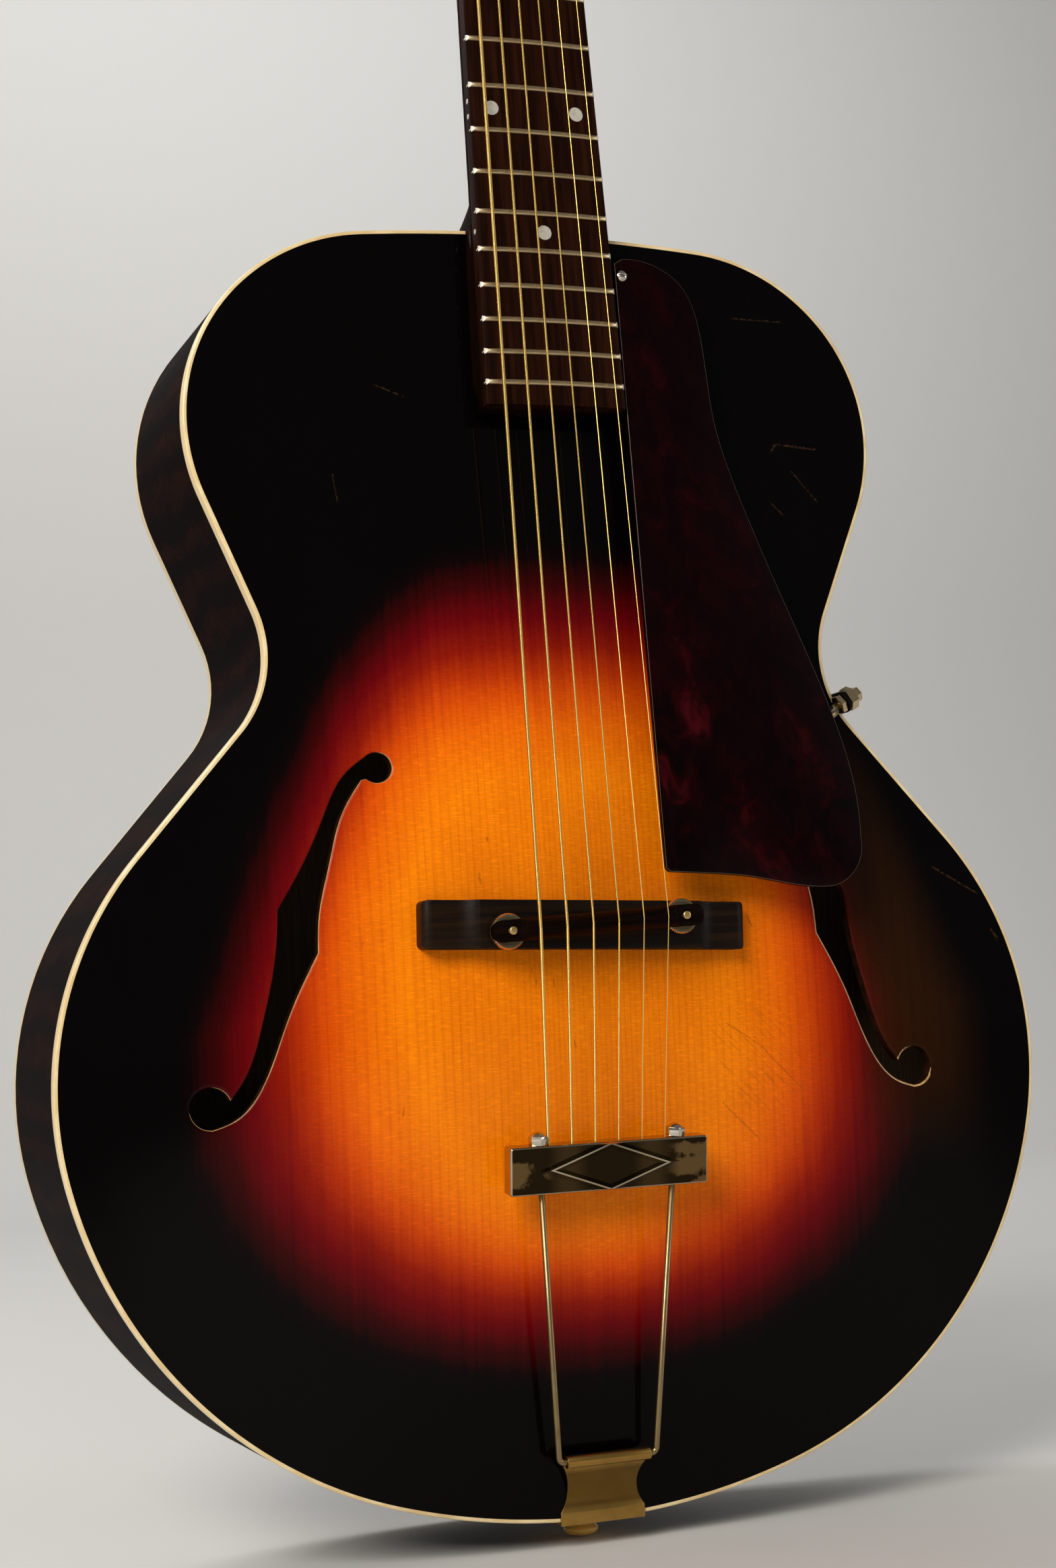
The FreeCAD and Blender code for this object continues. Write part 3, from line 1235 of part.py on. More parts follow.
def make_tail_plate():
    """Stamped channel with a raised diamond frame; strings hook under its upper flange."""
    body = new_body("tail_plate")
    face = -D.tail_plate_deep / 2
    half = D.tail_plate_width / 2
    low = D.tail_plate_low
    top = plate_top()
    wall = D.tail_plate_wall
    sketch = new_sketch(body, "XZ_Plane", -face)
    add_loop(sketch, [(-half, low), (half, low), (half, top), (-half, top)])
    add_pad(body, sketch, D.tail_plate_deep, True)
    well = new_sketch(body, "XZ_Plane", -face - wall)
    add_loop(well, [(-half + wall, low + wall), (half - wall, low + wall), (half - wall, top - wall),
                    (-half + wall, top - wall)])
    add_pocket(body, well, D.tail_plate_deep)
    frame = new_sketch(body, "XZ_Plane", -face)
    wide = D.diamond_width / 2
    mid = (low + top) / 2
    tall = D.tail_plate_height / 2 - 0.4
    add_loop(frame, [(-wide, mid), (0.0, mid - tall), (wide, mid), (0.0, mid + tall)])
    slim = tall - D.diamond_band * 1.06
    inner = wide - D.diamond_band * 3.0
    add_loop(frame, [(-inner, mid), (0.0, mid - slim), (inner, mid), (0.0, mid + slim)])
    add_pad(body, frame, D.diamond_rise)
    holes = new_sketch(body, "XY_Plane", top - wall * 2)
    for number in range(1, 7):
        add_circle(holes, D.string_span_tail * (0.5 - (number - 1) / 5.0), 0.0, D.string_hole)
    arms = float(arm_x(float(top)))
    for side in (-1, 1):
        add_circle(holes, side * arms, 0.0, D.trapeze_radius + D.trapeze_gap)
    add_pocket(body, holes, wall * 4, True)
    feet = new_sketch(body, "XY_Plane", low - wall)
    for side in (-1, 1):
        add_circle(feet, side * arm_x(float(low)), 0.0, D.trapeze_radius + D.trapeze_gap)
    add_pocket(body, feet, wall * 3, True)
    body.Placement = TAIL
    keep(body, "tail_plate")
    nuts = []
    for side in (-1, 1):
        base = float(top) + 0.25
        lean = math.degrees(math.atan2(arm_x(float(top)) - arm_x(0.0), float(top)))
        hexes = polygon([V(x, y, 0) for x, y in hexagon(D.cap_flat)], V(0, 0, float(D.cap_thick)))
        reach = float(D.cap_flat) * 0.46
        crown = float(D.cap_crown)
        ball = (reach ** 2 + crown ** 2) / (2 * crown)
        dome = Part.makeSphere(ball, V(0, 0, float(D.cap_thick) + crown - ball))
        dome = dome.common(Part.makeCylinder(reach, crown + 0.4, V(0, 0, float(D.cap_thick) - 0.4)))
        bore = Part.makeCylinder(float(D.trapeze_radius) + 0.1, float(D.cap_thick) + 0.4, V(0, 0, -0.2))
        nut = hexes.fuse(dome).cut(bore).removeSplitter()
        nuts.append(placed(nut, shift(side * arm_x(base), 0, base).multiply(turn(V(0, 1, 0), side * lean))))
    feature("tail_cap_nuts", Part.makeCompound(nuts), TAIL)


def make_button():
    shelf = -D.bracket_thick - 0.1
    end = -D.button_rise
    body = revolved("strap_button", [
        (0.0, D.peg_length), (D.peg_radius - 0.6, D.peg_length), (D.peg_radius, D.peg_length - 2.0),
        (D.peg_radius, shelf),
        (D.button_neck + 1.2, shelf), (D.button_neck, shelf - 1.6), (D.button_neck + 0.4, end + 4.6),
        (D.button_radius, end + 3.2),
        (D.button_radius, end + 1.9), (D.button_radius * 0.8, end + 0.6),
        (D.button_radius * 0.4, end + 0.1), (0.0, end)])
    keep(body, "strap_button")


# Pickguard with its stay


# Outline in shares of the guard's width and length, from the neck down
GUARD_OUTER = ((0.0412, 0.0), (0.1871, 0.0055), (0.3306, 0.0379), (0.4094, 0.1173), (0.4424, 0.2619),
               (0.54, 0.3859), (0.7235, 0.5551), (0.9118, 0.7271), (0.9976, 0.8554), (1.0, 0.9214))
GUARD_LOWER = ((0.8282, 1.0), (0.6518, 0.9961), (0.4165, 0.9805), (0.1765, 0.973), (0.0176, 0.9695))


def guard_plane():
    """Pickguard frame: back face level with the glue line, Z as in the body."""
    return NECK


def guard_screw_spot():
    return V(float(D.guard_screw_x), 0, -float(D.guard_screw_drop))


def guard_screw_bore():
    radius = float(D.guard_shank + D.guard_shank_gap)
    return placed(Part.makeCylinder(radius, 40, guard_screw_spot() - V(0, 10, 0), V(0, 1, 0)), guard_plane())


def make_guard():
    left = float(D.guard_left)
    width = float(D.guard_width)
    top = -float(D.guard_drop)
    length = JOIN_Z + top - BRIDGE_Z - float(D.guard_clear)

    def at(across, down):
        return V(left + across * width, 0, top - down * length)

    outer = spline([at(*p) for p in GUARD_OUTER])
    corner = Part.Arc(at(*GUARD_OUTER[-1]), at(0.96, 0.9738), at(*GUARD_LOWER[0])).toShape()
    lower = spline([at(*p) for p in GUARD_LOWER])
    heel = Part.makeLine(at(*GUARD_LOWER[-1]), at(0.0, 0.9636))
    inner = Part.makeLine(at(0.0, 0.9636), at(0.0, 0.0078))
    nose = Part.makeLine(at(0.0, 0.0078), at(*GUARD_OUTER[0]))
    edge = Part.Wire([outer, corner, lower, heel, inner, nose])
    sheet = Part.Face(edge).extrude(V(0, -float(D.guard_thick), 0))
    spot = guard_screw_spot()
    pad = Part.makeCylinder(float(D.guard_pad_radius), 14, spot, V(0, 1, 0))
    guard = placed(sheet.fuse(pad).removeSplitter(), guard_plane())
    guard = guard.cut([front_slab(-float(D.seat_gap), 60), guard_screw_bore()])
    feature("pickguard", guard.removeSplitter())
    head = float(D.guard_screw_radius)
    pin = screw(head, 1.5, float(D.guard_shank), float(D.guard_thick) + 14.5)
    place = guard_plane().multiply(shift(spot.x, -float(D.guard_thick), spot.z)).multiply(turn(V(1, 0, 0),
                                                                                               -90))
    feature("pickguard_screw", placed(pin, place))


def stay_frame():
    """Frame of the pickguard's stay: X out through the rim, Y to the back."""
    z = float(D.stay_z)
    x = half_width(z)
    step = 0.5
    slope = (half_width(z + step) - half_width(z - step)) / (2 * step)
    angle = -math.degrees(math.atan2(-slope, 1.0))
    return FreeCAD.Placement(V(x, FRONT, z), FreeCAD.Rotation(V(0, 1, 0), angle))


def make_stay():
    frame = stay_frame()
    radius = float(D.stay_radius)
    rise = -float(D.stay_rise)
    thick = float(D.clamp_thick)
    start = 0.35
    end = start + thick + 7.0
    foot_x = -15.0
    under = guard_plane().multVec(V(0, 0, 0))
    point = frame.multVec(V(foot_x, 0, 0))
    level = under.y - (JOIN_Z - point.z) * math.tan(math.radians(float(D.neck_angle))) - FRONT
    path = bent_path([V(end, rise, 0), V(-3.5, rise, 0), V(foot_x, level + 5.0, 0),
                      V(foot_x, level + 1.0, 0)], 3.0)
    rod = tube_along(path, radius)
    foot = Part.makeCylinder(5.0, 3.0, V(foot_x, level - 0.9, 0), V(0, 1, 0))
    stay = placed(rod.fuse(foot), frame)
    above = placed(block(-300, 300, -100, 0.08, -400, 100), guard_plane())
    feature("pickguard_stay", stay.cut(above).removeSplitter())
    half = float(D.clamp_width) / 2
    run = float(D.clamp_run)
    plate = block(start, start + thick, rise - half, run, -half, half)
    corners = [e for e in plate.Edges if abs(e.Vertexes[0].X - e.Vertexes[-1].X) > 0.5]
    plate = plate.makeFillet(half * 0.9, corners)
    plate = plate.cut(Part.makeCylinder(radius + 0.2, 20, V(-10, rise, 0), V(1, 0, 0)))
    pin = placed(screw(2.2, 1.2, 1.0, thick + 0.3), FreeCAD.Placement(V(start + thick, run - 6.0, 0),
                                                                      FreeCAD.Rotation(V(0, 1, 0), -90)))
    feature("pickguard_clamp", plate.fuse(pin).removeSplitter(), frame)
    nuts = []
    for x0, tall in ((start - 2.7, 2.6), (start + thick + 0.1, 2.6), (end - 2.4, 2.4)):
        ring = polygon([V(x0, rise + a, b) for a, b in hexagon(D.stay_nut_flat)], V(tall, 0, 0))
        nuts.append(ring.cut(Part.makeCylinder(radius + 0.05, 30, V(-15, rise, 0), V(1, 0, 0))))
    feature("pickguard_nuts", Part.makeCompound(nuts), frame)


# Strings


def string_ball(number):
    """Centre of a string's ball end, under the tail plate's upper flange."""
    return TAIL.multVec(V(spread(D.string_span_tail, number), 0,
                          float(plate_top() - D.tail_plate_wall) - 1.6))


def one_string(number):
    radius = STRING_RADII[number - 1]
    ball = string_ball(number)
    crest = string_at_saddle(number)
    nut = string_at_nut(number)
    path = Part.makePolygon([ball, crest, nut, string_at_post(number)])
    heading = (crest - ball).normalize()
    ring = Part.Wire(Part.makeCircle(radius, ball, heading))
    wire = path.makePipeShell([ring], True, False, 1)
    bead = Part.makeCylinder(1.9, 2.6, ball + heading * -1.3, heading)
    return wire.fuse(bead)


def make_strings():
    feature("strings_plain", Part.makeCompound([one_string(number) for number in (1, 2)]))
    feature("strings_wound", Part.makeCompound([one_string(number) for number in (3, 4, 5, 6)]))


def check_and_write():
    DOC.recompute()
    for obj in DOC.Objects:
        if "Invalid" in obj.State or "Error" in obj.State:
            raise RuntimeError("failed object: " + obj.Label)
    for obj in PARTS:
        shape = obj.Shape
        if shape.isNull() or not shape.isValid() or shape.Volume <= 0:
            raise RuntimeError("bad shape: " + obj.Label)
    os.makedirs("parts", exist_ok=True)
    for obj in PARTS:
        obj.Shape.exportStep("parts/%s.step" % obj.Label)
    print("%d sub-parts written, body length %.1f" % (len(PARTS), LENGTH))


make_plates()
make_rim()
make_blocks()
make_linings()
make_tone_bars()
make_neck()
make_board()
feature("frets", Part.makeCompound([fret(number) for number in range(1, FRET_COUNT + 1)]), NECK)
make_nut()
make_veneer()
make_truss_rod()
make_rod_cover()
make_head_screws()
make_strips()
make_bushings()
make_tuners()
make_bridge_base()
make_studs()
make_wheel("wheel_bass", -1)
make_wheel("wheel_treble", 1)
make_saddle()
make_bracket()
make_trapeze()
make_tail_plate()
make_button()
make_guard()
make_stay()
make_strings()
check_and_write()
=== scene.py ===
import bmesh
import bpy
import json
import math
import numpy as np
from mathutils import Matrix, Vector, geometry


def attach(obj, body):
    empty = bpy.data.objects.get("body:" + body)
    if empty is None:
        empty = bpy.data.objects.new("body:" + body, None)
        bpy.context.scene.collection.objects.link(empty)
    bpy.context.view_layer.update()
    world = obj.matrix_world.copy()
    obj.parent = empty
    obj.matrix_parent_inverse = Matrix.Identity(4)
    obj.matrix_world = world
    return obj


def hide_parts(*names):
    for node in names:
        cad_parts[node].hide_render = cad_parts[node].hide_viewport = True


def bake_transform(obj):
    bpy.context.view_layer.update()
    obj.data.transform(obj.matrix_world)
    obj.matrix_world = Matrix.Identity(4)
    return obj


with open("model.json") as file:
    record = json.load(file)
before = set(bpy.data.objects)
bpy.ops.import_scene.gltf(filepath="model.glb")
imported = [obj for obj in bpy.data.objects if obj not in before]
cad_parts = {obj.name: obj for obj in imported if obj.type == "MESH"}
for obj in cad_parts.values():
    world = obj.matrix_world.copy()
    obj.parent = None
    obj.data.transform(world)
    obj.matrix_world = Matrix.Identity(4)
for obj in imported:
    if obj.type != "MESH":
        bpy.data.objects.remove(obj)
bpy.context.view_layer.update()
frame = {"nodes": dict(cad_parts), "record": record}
NODES = frame["nodes"]
HOME = {node: body for body, members in frame["record"]["behaviour"]["bodies"].items() for node in members}
SLOTS = {part["node"]: part["material_slot"] for part in frame["record"]["subparts"]}

MM = 0.001
TAU = 2 * math.pi

# Sizes of the guitar in millimetres and degrees, in the frame of its solids
FRONT, BACK, PLATE, PLATE_INSET = -24.0, 68.0, 5.0, 1.55
ARCH_FRONT, ARCH_BACK, ARCH_EDGE, ARCH_CREST = 14.5, 14.0, 10.0, 230.0
# Half outline from the tail: radius or length, degrees of turn, and inwards, outwards or straight
OUTLINE = ((274.4, 17.0, 1), (174.9, 60.0, 1), (133.6, 54.3, 1), (62.1, 0.0, 0), (44.2, 64.0, -1),
           (47.0, 0.0, 0), (76.1, 66.8, 1), (82.4, 41.0, 1))
SCALE, NECK_ANGLE, HEAD_ANGLE, SADDLE_TURN = 626.0, 3.8, 14.0, 2.7
NECK_RISE, NECK_GAP, NUT_DEPTH, SADDLE_BACK = 7.9, 2.9, 5.0, 3.4
STAY_Z, STAY_RADIUS, STAY_RISE = 313.0, 1.6, -4.2
NUT_WIDTH, BOARD_END_WIDTH, BOARD_THICK, BOARD_RADIUS = 43.2, 58.3, 6.5, 305.0
FRET_COUNT, FRET_WIDTH, FRET_HEIGHT = 19, 2.3, 1.1
STRING_RADII = (0.18, 0.22, 0.34, 0.46, 0.58, 0.70)
NUT_SPAN, BRIDGE_SPAN, TAIL_SPAN = 35.5, 52.4, 47.3
ACTION_NUT, ACTION_TWELFTH = 0.5, 1.7
POST_X, POST_FIRST, POST_PITCH, POST_RADIUS, WRAP_LEVEL = 20.5, 40.0, 39.0, 3.1, -5.0
WHEEL_THICK, WHEEL_LOW, STUD_LOW, STUD_SPAN = 3.5, 11.0, 2.0, 71.0
HINGE_OUT, HINGE_Z, BALL_Z = 9.2, 24.2, 118.1
TAIL_HALF, TAIL_LOW, TAIL_HIGH = 40.0, 102.8, 121.0

# Centre of the top's shading, and how far the black edge lies from it
BURST_X, BURST_Z, BURST_ACROSS, BURST_UP, BURST_DOWN = -3.0, 190.0, 155.0, 188.0, 140.0

# Colours of the top from that centre to the edge
BURST = ((0.0, (0.87, 0.214, 0.002)), (0.30, (0.88, 0.206, 0.002)), (0.50, (0.97, 0.232, 0.002)),
         (0.61, (0.86, 0.148, 0.002)), (0.67, (0.69, 0.080, 0.002)), (0.72, (0.46, 0.033, 0.002)),
         (0.77, (0.26, 0.009, 0.002)), (0.83, (0.14, 0.001, 0.003)), (0.90, (0.040, 0.0005, 0.001)),
         (0.96, (0.004, 0.0004, 0.0004)), (1.0, (0.001, 0.0005, 0.0005)))

# Worn marks on the top: X and Z of start and end, and half width
SCUFFS = ((99.6, 417.3, 102.3, 421.0, 0.7), (102.3, 421.0, 121.3, 419.6, 0.6),
          (98.1, 396.6, 104.8, 390.2, 0.4), (108.5, 410.2, 120.1, 397.3, 0.35),
          (161.3, 245.3, 182.4, 233.3, 0.5), (187.4, 218.5, 190.7, 213.5, 0.8),
          (-69.8, 439.6, -57.9, 434.8, 0.4), (-88.2, 404.5, -86.6, 392.3, 0.35),
          (86.2, 473.6, 109.4, 473.1, 0.4))
SCRATCHES = ((59.3, 185.6, 74.2, 176.2, 0.35), (74.2, 176.2, 93.3, 157.2, 0.35),
             (56.2, 154.9, 72.5, 139.0, 0.35), (99.5, 174.9, 106.5, 169.3, 0.4),
             (-40.7, 247.8, -40.1, 243.1, 0.6), (71.0, 228.1, 73.7, 222.8, 0.6),
             (-13.4, 206.1, -12.8, 202.4, 0.5), (-5.9, 182.5, -5.1, 178.9, 0.5))


# Finishes: sockets that take part in plain arithmetic


def summed(operation):
    """A sum on a tone that adds one Math node."""
    def made(tone, other=0.0):
        return tone.finish.add("ShaderNodeMath", {0: tone, 1: other}, operation=operation)
    return made


class Tone:
    """A node's output; sums on it add Math nodes to the same finish."""

    def __init__(self, finish, socket):
        self.finish = finish
        self.socket = socket

    __add__ = __radd__ = summed("ADD")
    __sub__ = summed("SUBTRACT")
    __mul__ = __rmul__ = summed("MULTIPLY")
    __truediv__ = summed("DIVIDE")
    __pow__ = summed("POWER")
    __abs__ = summed("ABSOLUTE")
    sine = summed("SINE")
    least = summed("MINIMUM")
    most = summed("MAXIMUM")

    def __rsub__(self, other):
        return self.finish.add("ShaderNodeMath", {0: other, 1: self}, operation="SUBTRACT")

    def between(self, low, high):
        """0 below low, 1 above high, a soft step between."""
        sockets = {0: self, 1: low, 2: high, 3: 0.0, 4: 1.0}
        return self.finish.add("ShaderNodeMapRange", sockets, interpolation_type="SMOOTHSTEP")


class Finish:
    """One surface finish: a Principled shader and the nodes that feed it."""

    def __init__(self, name, **fixed):
        self.material = bpy.data.materials.new(name)
        self.material.use_nodes = True
        self.tree = self.material.node_tree
        self.shader = self.tree.nodes["Principled BSDF"]
        for socket, value in fixed.items():
            self.shader.inputs[socket.replace("_", " ")].default_value = value

    def add(self, kind, sockets, out=0, **settings):
        """The output of a new node whose sockets take tones or values."""
        node = self.tree.nodes.new(kind)
        for key, value in settings.items():
            setattr(node, key, value)
        for key, value in sockets.items():
            if isinstance(value, Tone):
                self.tree.links.new(value.socket, node.inputs[key])
            else:
                node.inputs[key].default_value = value
        return Tone(self, node.outputs[out])

    def places(self):
        """The point's x, y and z in millimetres, in the guitar's frame."""
        spot = self.add("ShaderNodeTexCoord", {}, "Object")
        return [self.add("ShaderNodeSeparateXYZ", {0: spot}, axis) * 1000.0 for axis in range(3)]

    def noise(self, x, y, z, detail=3.0, rough=0.55):
        spot = self.add("ShaderNodeCombineXYZ", {0: x, 1: y, 2: z})
        sockets = {"Vector": spot, "Scale": 1.0, "Detail": detail, "Roughness": rough}
        return self.add("ShaderNodeTexNoise", sockets)

    def ramp(self, factor, *stops):
        tone = self.add("ShaderNodeValToRGB", {0: factor})
        elements = tone.socket.node.color_ramp.elements
        while len(elements) < len(stops):
            elements.new(0.5)
        for element, (place, colour) in zip(elements, stops):
            element.position = place
            element.color = (*colour, 1.0)
        return tone

    def mix(self, factor, a, b, blend="MIX"):
        a, b = [c if isinstance(c, Tone) else (*c, 1.0) for c in (a, b)]
        return self.add("ShaderNodeMix", {0: factor, 6: a, 7: b}, 2, data_type="RGBA", blend_type=blend)

    def link(self, socket, tone):
        self.tree.links.new(tone.socket, self.shader.inputs[socket])

    def made(self, colour, rough, height, depth, strength):
        """The material, with a relief of a height of 0 to 1 over a depth in millimetres."""
        relief = {"Strength": strength, "Distance": depth * MM, "Height": height}
        self.link("Base Color", colour)
        self.link("Roughness", rough)
        self.link("Normal", self.add("ShaderNodeBump", relief))
        return self.material


def started(name, **fixed):
    """A new finish and the point's x, y and z in it."""
    finish = Finish(name, **fixed)
    return finish, *finish.places()


def scored(x, z, ragged, lines):
    """Mask of uneven lines in the lacquer."""
    cover = 0.0
    for x0, z0, x1, z1, wide in lines:
        long = math.dist((x0, z0), (x1, z1))
        run_x, run_z = (x1 - x0) / long, (z1 - z0) / long
        along = (x - x0) * run_x + (z - z0) * run_z
        off = abs((x - x0) * run_z - (z - z0) * run_x + ragged * 1.6 - 0.8)
        ends = along.between(-0.5, 1.0) * (1.0 - along.between(long - 1.0, long + 0.5))
        cover = (1.0 - off.between(wide * 0.3, wide)) * ends + cover
    return cover.least(1.0)


def burst_reach(x, z):
    """Share of the way from the centre of the top's shading to its black edge."""
    rise = z - BURST_Z
    up = (rise / BURST_UP).most(0.0)
    down = (rise / -BURST_DOWN).most(0.0)
    across = abs(x - BURST_X) / BURST_ACROSS
    shoulder = ((across / (1.0 - up * 0.46)) ** 4.0 + up ** 4.0) ** 0.25
    bout = ((across * 0.957) ** 1.975 + down ** 2.5) ** 0.4
    return shoulder.most(bout)


def burst_spruce():
    """Spruce top: amber centre, orange and red shading to a black edge, under lacquer."""
    f, x, _, z = started("burst_spruce", Coat_Weight=0.14, Coat_Roughness=0.06, Coat_IOR=1.5,
                         Specular_IOR_Level=0.02)
    drift = f.noise(x * 0.012, 0.0, z * 0.012, 2.0) - 0.5
    streak = f.noise(x * 0.42, 0.0, z * 0.005) - 0.5
    reach = burst_reach(x, z) + drift * 0.05
    shade = f.ramp(reach + streak * 0.06 * reach, *BURST)
    # Painted sheen: a warm brown reflection painted on the treble side, between the amber and the black edge.
    painted_sheen = x.between(90.0, 135.0) * reach.between(0.76, 0.86) * (1.0 - reach.between(1.0, 1.22))
    painted_sheen = painted_sheen * z.between(120.0, 170.0) * (1.0 - z.between(290.0, 340.0))
    shade = f.mix(painted_sheen * 0.75, shade, (0.030, 0.0085, 0.0008))
    # Year rings, fine grain, silk across the grain and clouds of age
    wander = f.noise(x * 0.11, 0.0, z * 0.003) * 7.0
    years = abs(x) / (abs(x) * 0.011 + 1.9)
    rings = ((years * TAU + wander).sine() * 0.5 + 0.5) ** 4.0
    fine = f.noise(x * 2.6, 0.0, z * 0.03, 4.0)
    silk = f.noise(x * 0.22, 0.0, z * 1.7, 4.0, 0.65).between(0.46, 0.70)
    fleck = f.noise(x * 0.7, 5.0, z * 3.1, 2.0).between(0.58, 0.72)
    age = f.noise(x * 0.05, 0.0, z * 0.03, 4.0)
    grain = rings * 0.17 + (fine - 0.5) * 0.50
    dark = 0.955 - grain * 0.62 + silk * 0.25 + fleck * 0.08 + (age - 0.5) * 0.36
    tint = f.add("ShaderNodeCombineColor", {0: dark ** 0.75, 1: dark ** 1.35, 2: dark})
    wood = f.mix(1.0, shade, tint, "MULTIPLY")
    resin = f.noise(x * 0.13, 3.0, z * 0.06, 2.0).between(0.715, 0.75) * (1.0 - reach.between(0.5, 0.75))
    wood = f.mix(resin * 0.5, wood, (0.17, 0.026, 0.003))
    # Worn edges, scratches and the hatch of strokes below the guard
    ragged = f.noise(x * 0.6, 9.0, z * 0.6)
    worn = scored(x, z, ragged, SCUFFS) * ragged.between(0.38, 0.62)
    wood = f.mix(worn * 0.3, wood, (0.13, 0.06, 0.02))
    aside, above = (x - 74.0) / 30.0, (z - 172.0) / 26.0
    picked = 1.0 - (aside * aside + above * above).between(0.15, 1.0)
    strokes = f.noise((x * 0.69 + z * 0.72) * 0.8, 7.0, (x * 0.72 - z * 0.69) * 0.06, 2.0).between(0.54, 0.66)
    scratch = (scored(x, z, ragged, SCRATCHES) * 0.55).most(strokes * picked * 0.30)
    wood = f.mix(scratch, wood, (0.30, 0.075, 0.005))
    height = fine * 0.5 + rings * 0.3 - worn * 0.8
    return f.made(wood, 0.36 + age * 0.12 + worn * 0.3, height, 0.03, 0.5)


def shaded_maple(name, dark, light, figure):
    """Maple or mahogany under near-black shading: flame across the grain, gloss lacquer."""
    f, x, y, z = started(name, Coat_Weight=0.05, Coat_Roughness=0.06, Coat_IOR=1.5, Specular_IOR_Level=0.0)
    run = z + abs(x) * 0.22
    warp = f.noise(x * 0.02, y * 0.03, z * 0.05) * 9.0
    flame = ((run * 0.34 + warp).sine() * 0.5 + 0.5) * f.noise(x * 0.03, y * 0.05, z * 0.06)
    pores = f.noise(x * 1.3, y * 1.3, z * 0.05, 4.0)
    lift = (flame * figure + pores * 0.55).between(0.24, 0.95)
    scuff = f.noise(x * 0.04, y * 0.04, z * 0.04, 5.0)
    return f.made(f.mix(lift, dark, light), 0.38 + scuff * 0.2, pores, 0.012, 0.3)


def bare_wood():
    """Unfinished inner wood with straight grain and saw marks."""
    f, x, y, z = started("bare_wood")
    grain = f.noise(x * 1.1, y * 1.1, z * 0.02, 4.0)
    tint = f.noise(x * 0.03, y * 0.03, z * 0.02)
    tan = f.mix(grain.between(0.3, 0.7), (0.17, 0.095, 0.045), (0.29, 0.18, 0.09))
    return f.made(f.mix(tint * 0.5, tan, (0.13, 0.07, 0.03)), 0.72 + grain * 0.15, grain, 0.06, 0.6)


def ivory_celluloid(name, warm):
    """Aged cream celluloid with fine lengthwise lines and small dirt."""
    f, x, y, z = started(name, Coat_Weight=0.5, Coat_Roughness=0.1, Subsurface_Weight=0.08,
                         Subsurface_Radius=(0.0012, 0.0008, 0.0004))
    lines = f.noise(x * 0.12, y * 5.0, z * 0.12)
    cloud = f.noise(x * 0.03, y * 0.03, z * 0.03, 4.0)
    cream = f.mix(lines.between(0.35, 0.65), (0.78, 0.58, 0.28), (0.90, 0.73, 0.42))
    cream = f.mix(cloud.between(0.45, 0.75) * warm, cream, (0.66, 0.41, 0.15))
    dirt = f.noise(x * 0.5, y * 0.5, z * 0.5).between(0.68, 0.76)
    return f.made(f.mix(dirt * 0.35, cream, (0.22, 0.13, 0.06)), 0.28 + cloud * 0.18, lines, 0.01, 0.4)


def rosewood(name, dark, light, gloss=0.06):
    """Oiled dark rosewood: long open pores and brown streaks."""
    f, x, y, z = started(name, Specular_IOR_Level=gloss)
    run, cross = (z, x) if name == "board_rosewood" else (x, z)
    streak = f.noise(cross * 0.45, y * 0.2, run * 0.012, 4.0)
    pore = f.noise(cross * 4.2, y * 4.2, run * 0.14, 2.0).between(0.60, 0.68)
    tint = f.noise(cross * 1.4, y * 1.4, run * 0.03)
    wood = f.mix(streak.between(0.35, 0.7), dark, light)
    wood = f.mix(tint.between(0.5, 0.8) * 0.5, wood, (0.010, 0.0042, 0.0022))
    colour = f.mix(pore * 0.75, wood, (0.004, 0.0018, 0.0012))
    return f.made(colour, 0.36 + tint * 0.16 + pore * 0.25, 1.0 - pore * 0.8 - tint * 0.2, 0.06, 0.6)


def plated(name, bright, dull, rough, tarnish, shade_band=None):
    """Plated metal: polish with haze, scratches and tarnish; where a band of heights is given, painted shade
    darkens it.
    """
    f, x, y, z = started(name, Metallic=1.0)
    haze = f.noise(x * 0.09, y * 0.09, z * 0.09, 5.0)
    spots = f.noise(x * 0.9, y * 0.9, z * 0.9).between(0.58, 0.72)
    lines = f.noise(x * 6.0 + z * 2.0, y * 6.0, z * 0.35 - x * 0.1, 2.0)
    cover = haze.between(0.42, 0.70) * tarnish + spots * tarnish * 0.5
    metal = f.mix(cover, bright, dull)
    if shade_band:
        # Painted shade: darker between the given heights.
        painted_shade = z.between(shade_band[0], shade_band[1]) * (1.0 - z.between(shade_band[2], shade_band[3]))
        metal = f.mix(painted_shade * 0.8, metal, [c * 0.42 for c in dull])
    hazed = rough + haze * rough * 0.9 + lines * 0.05 + spots * 0.10 * tarnish
    return f.made(metal, hazed, lines * 0.6 + spots * 0.4, 0.006, 0.4)


def nickel_painted_reflections():
    """Polished plate with painted reflections: brighter clouds with ragged edges towards its ends and a soft
    glow each side of its middle, on a dark painted ground.
    """
    f, x, y, z = started("plate_nickel_painted_reflections", Metallic=1.0)
    ragged = f.noise(x * 0.45, y * 0.2, z * 0.45, 5.0, 0.7) * 0.22
    # Painted reflections: light clouds towards the plate's ends and a glow each side of its middle, on a dark
    # painted ground.
    cloud = f.noise(x * 0.045, 2.0, z * 0.10, 1.0) + ragged + x.between(15.0, 30.0) * 0.06
    cloud = cloud.between(0.60, 0.66) * abs(x).between(22.0, 29.0)
    cloud = cloud * 0.8 + (1.0 - abs(abs(x) - 17.0).between(1.0, 9.0)) * 0.22 + z.between(116.0, 119.5) * 0.10
    lines = f.noise(x * 6.0 + z * 2.0, y * 6.0, z * 0.35 - x * 0.1, 2.0)
    colour = f.mix(cloud, (0.006, 0.004, 0.0022), (0.17, 0.105, 0.040))
    return f.made(colour, 0.06 + ragged * 0.2 + lines * 0.03, lines, 0.004, 0.3)


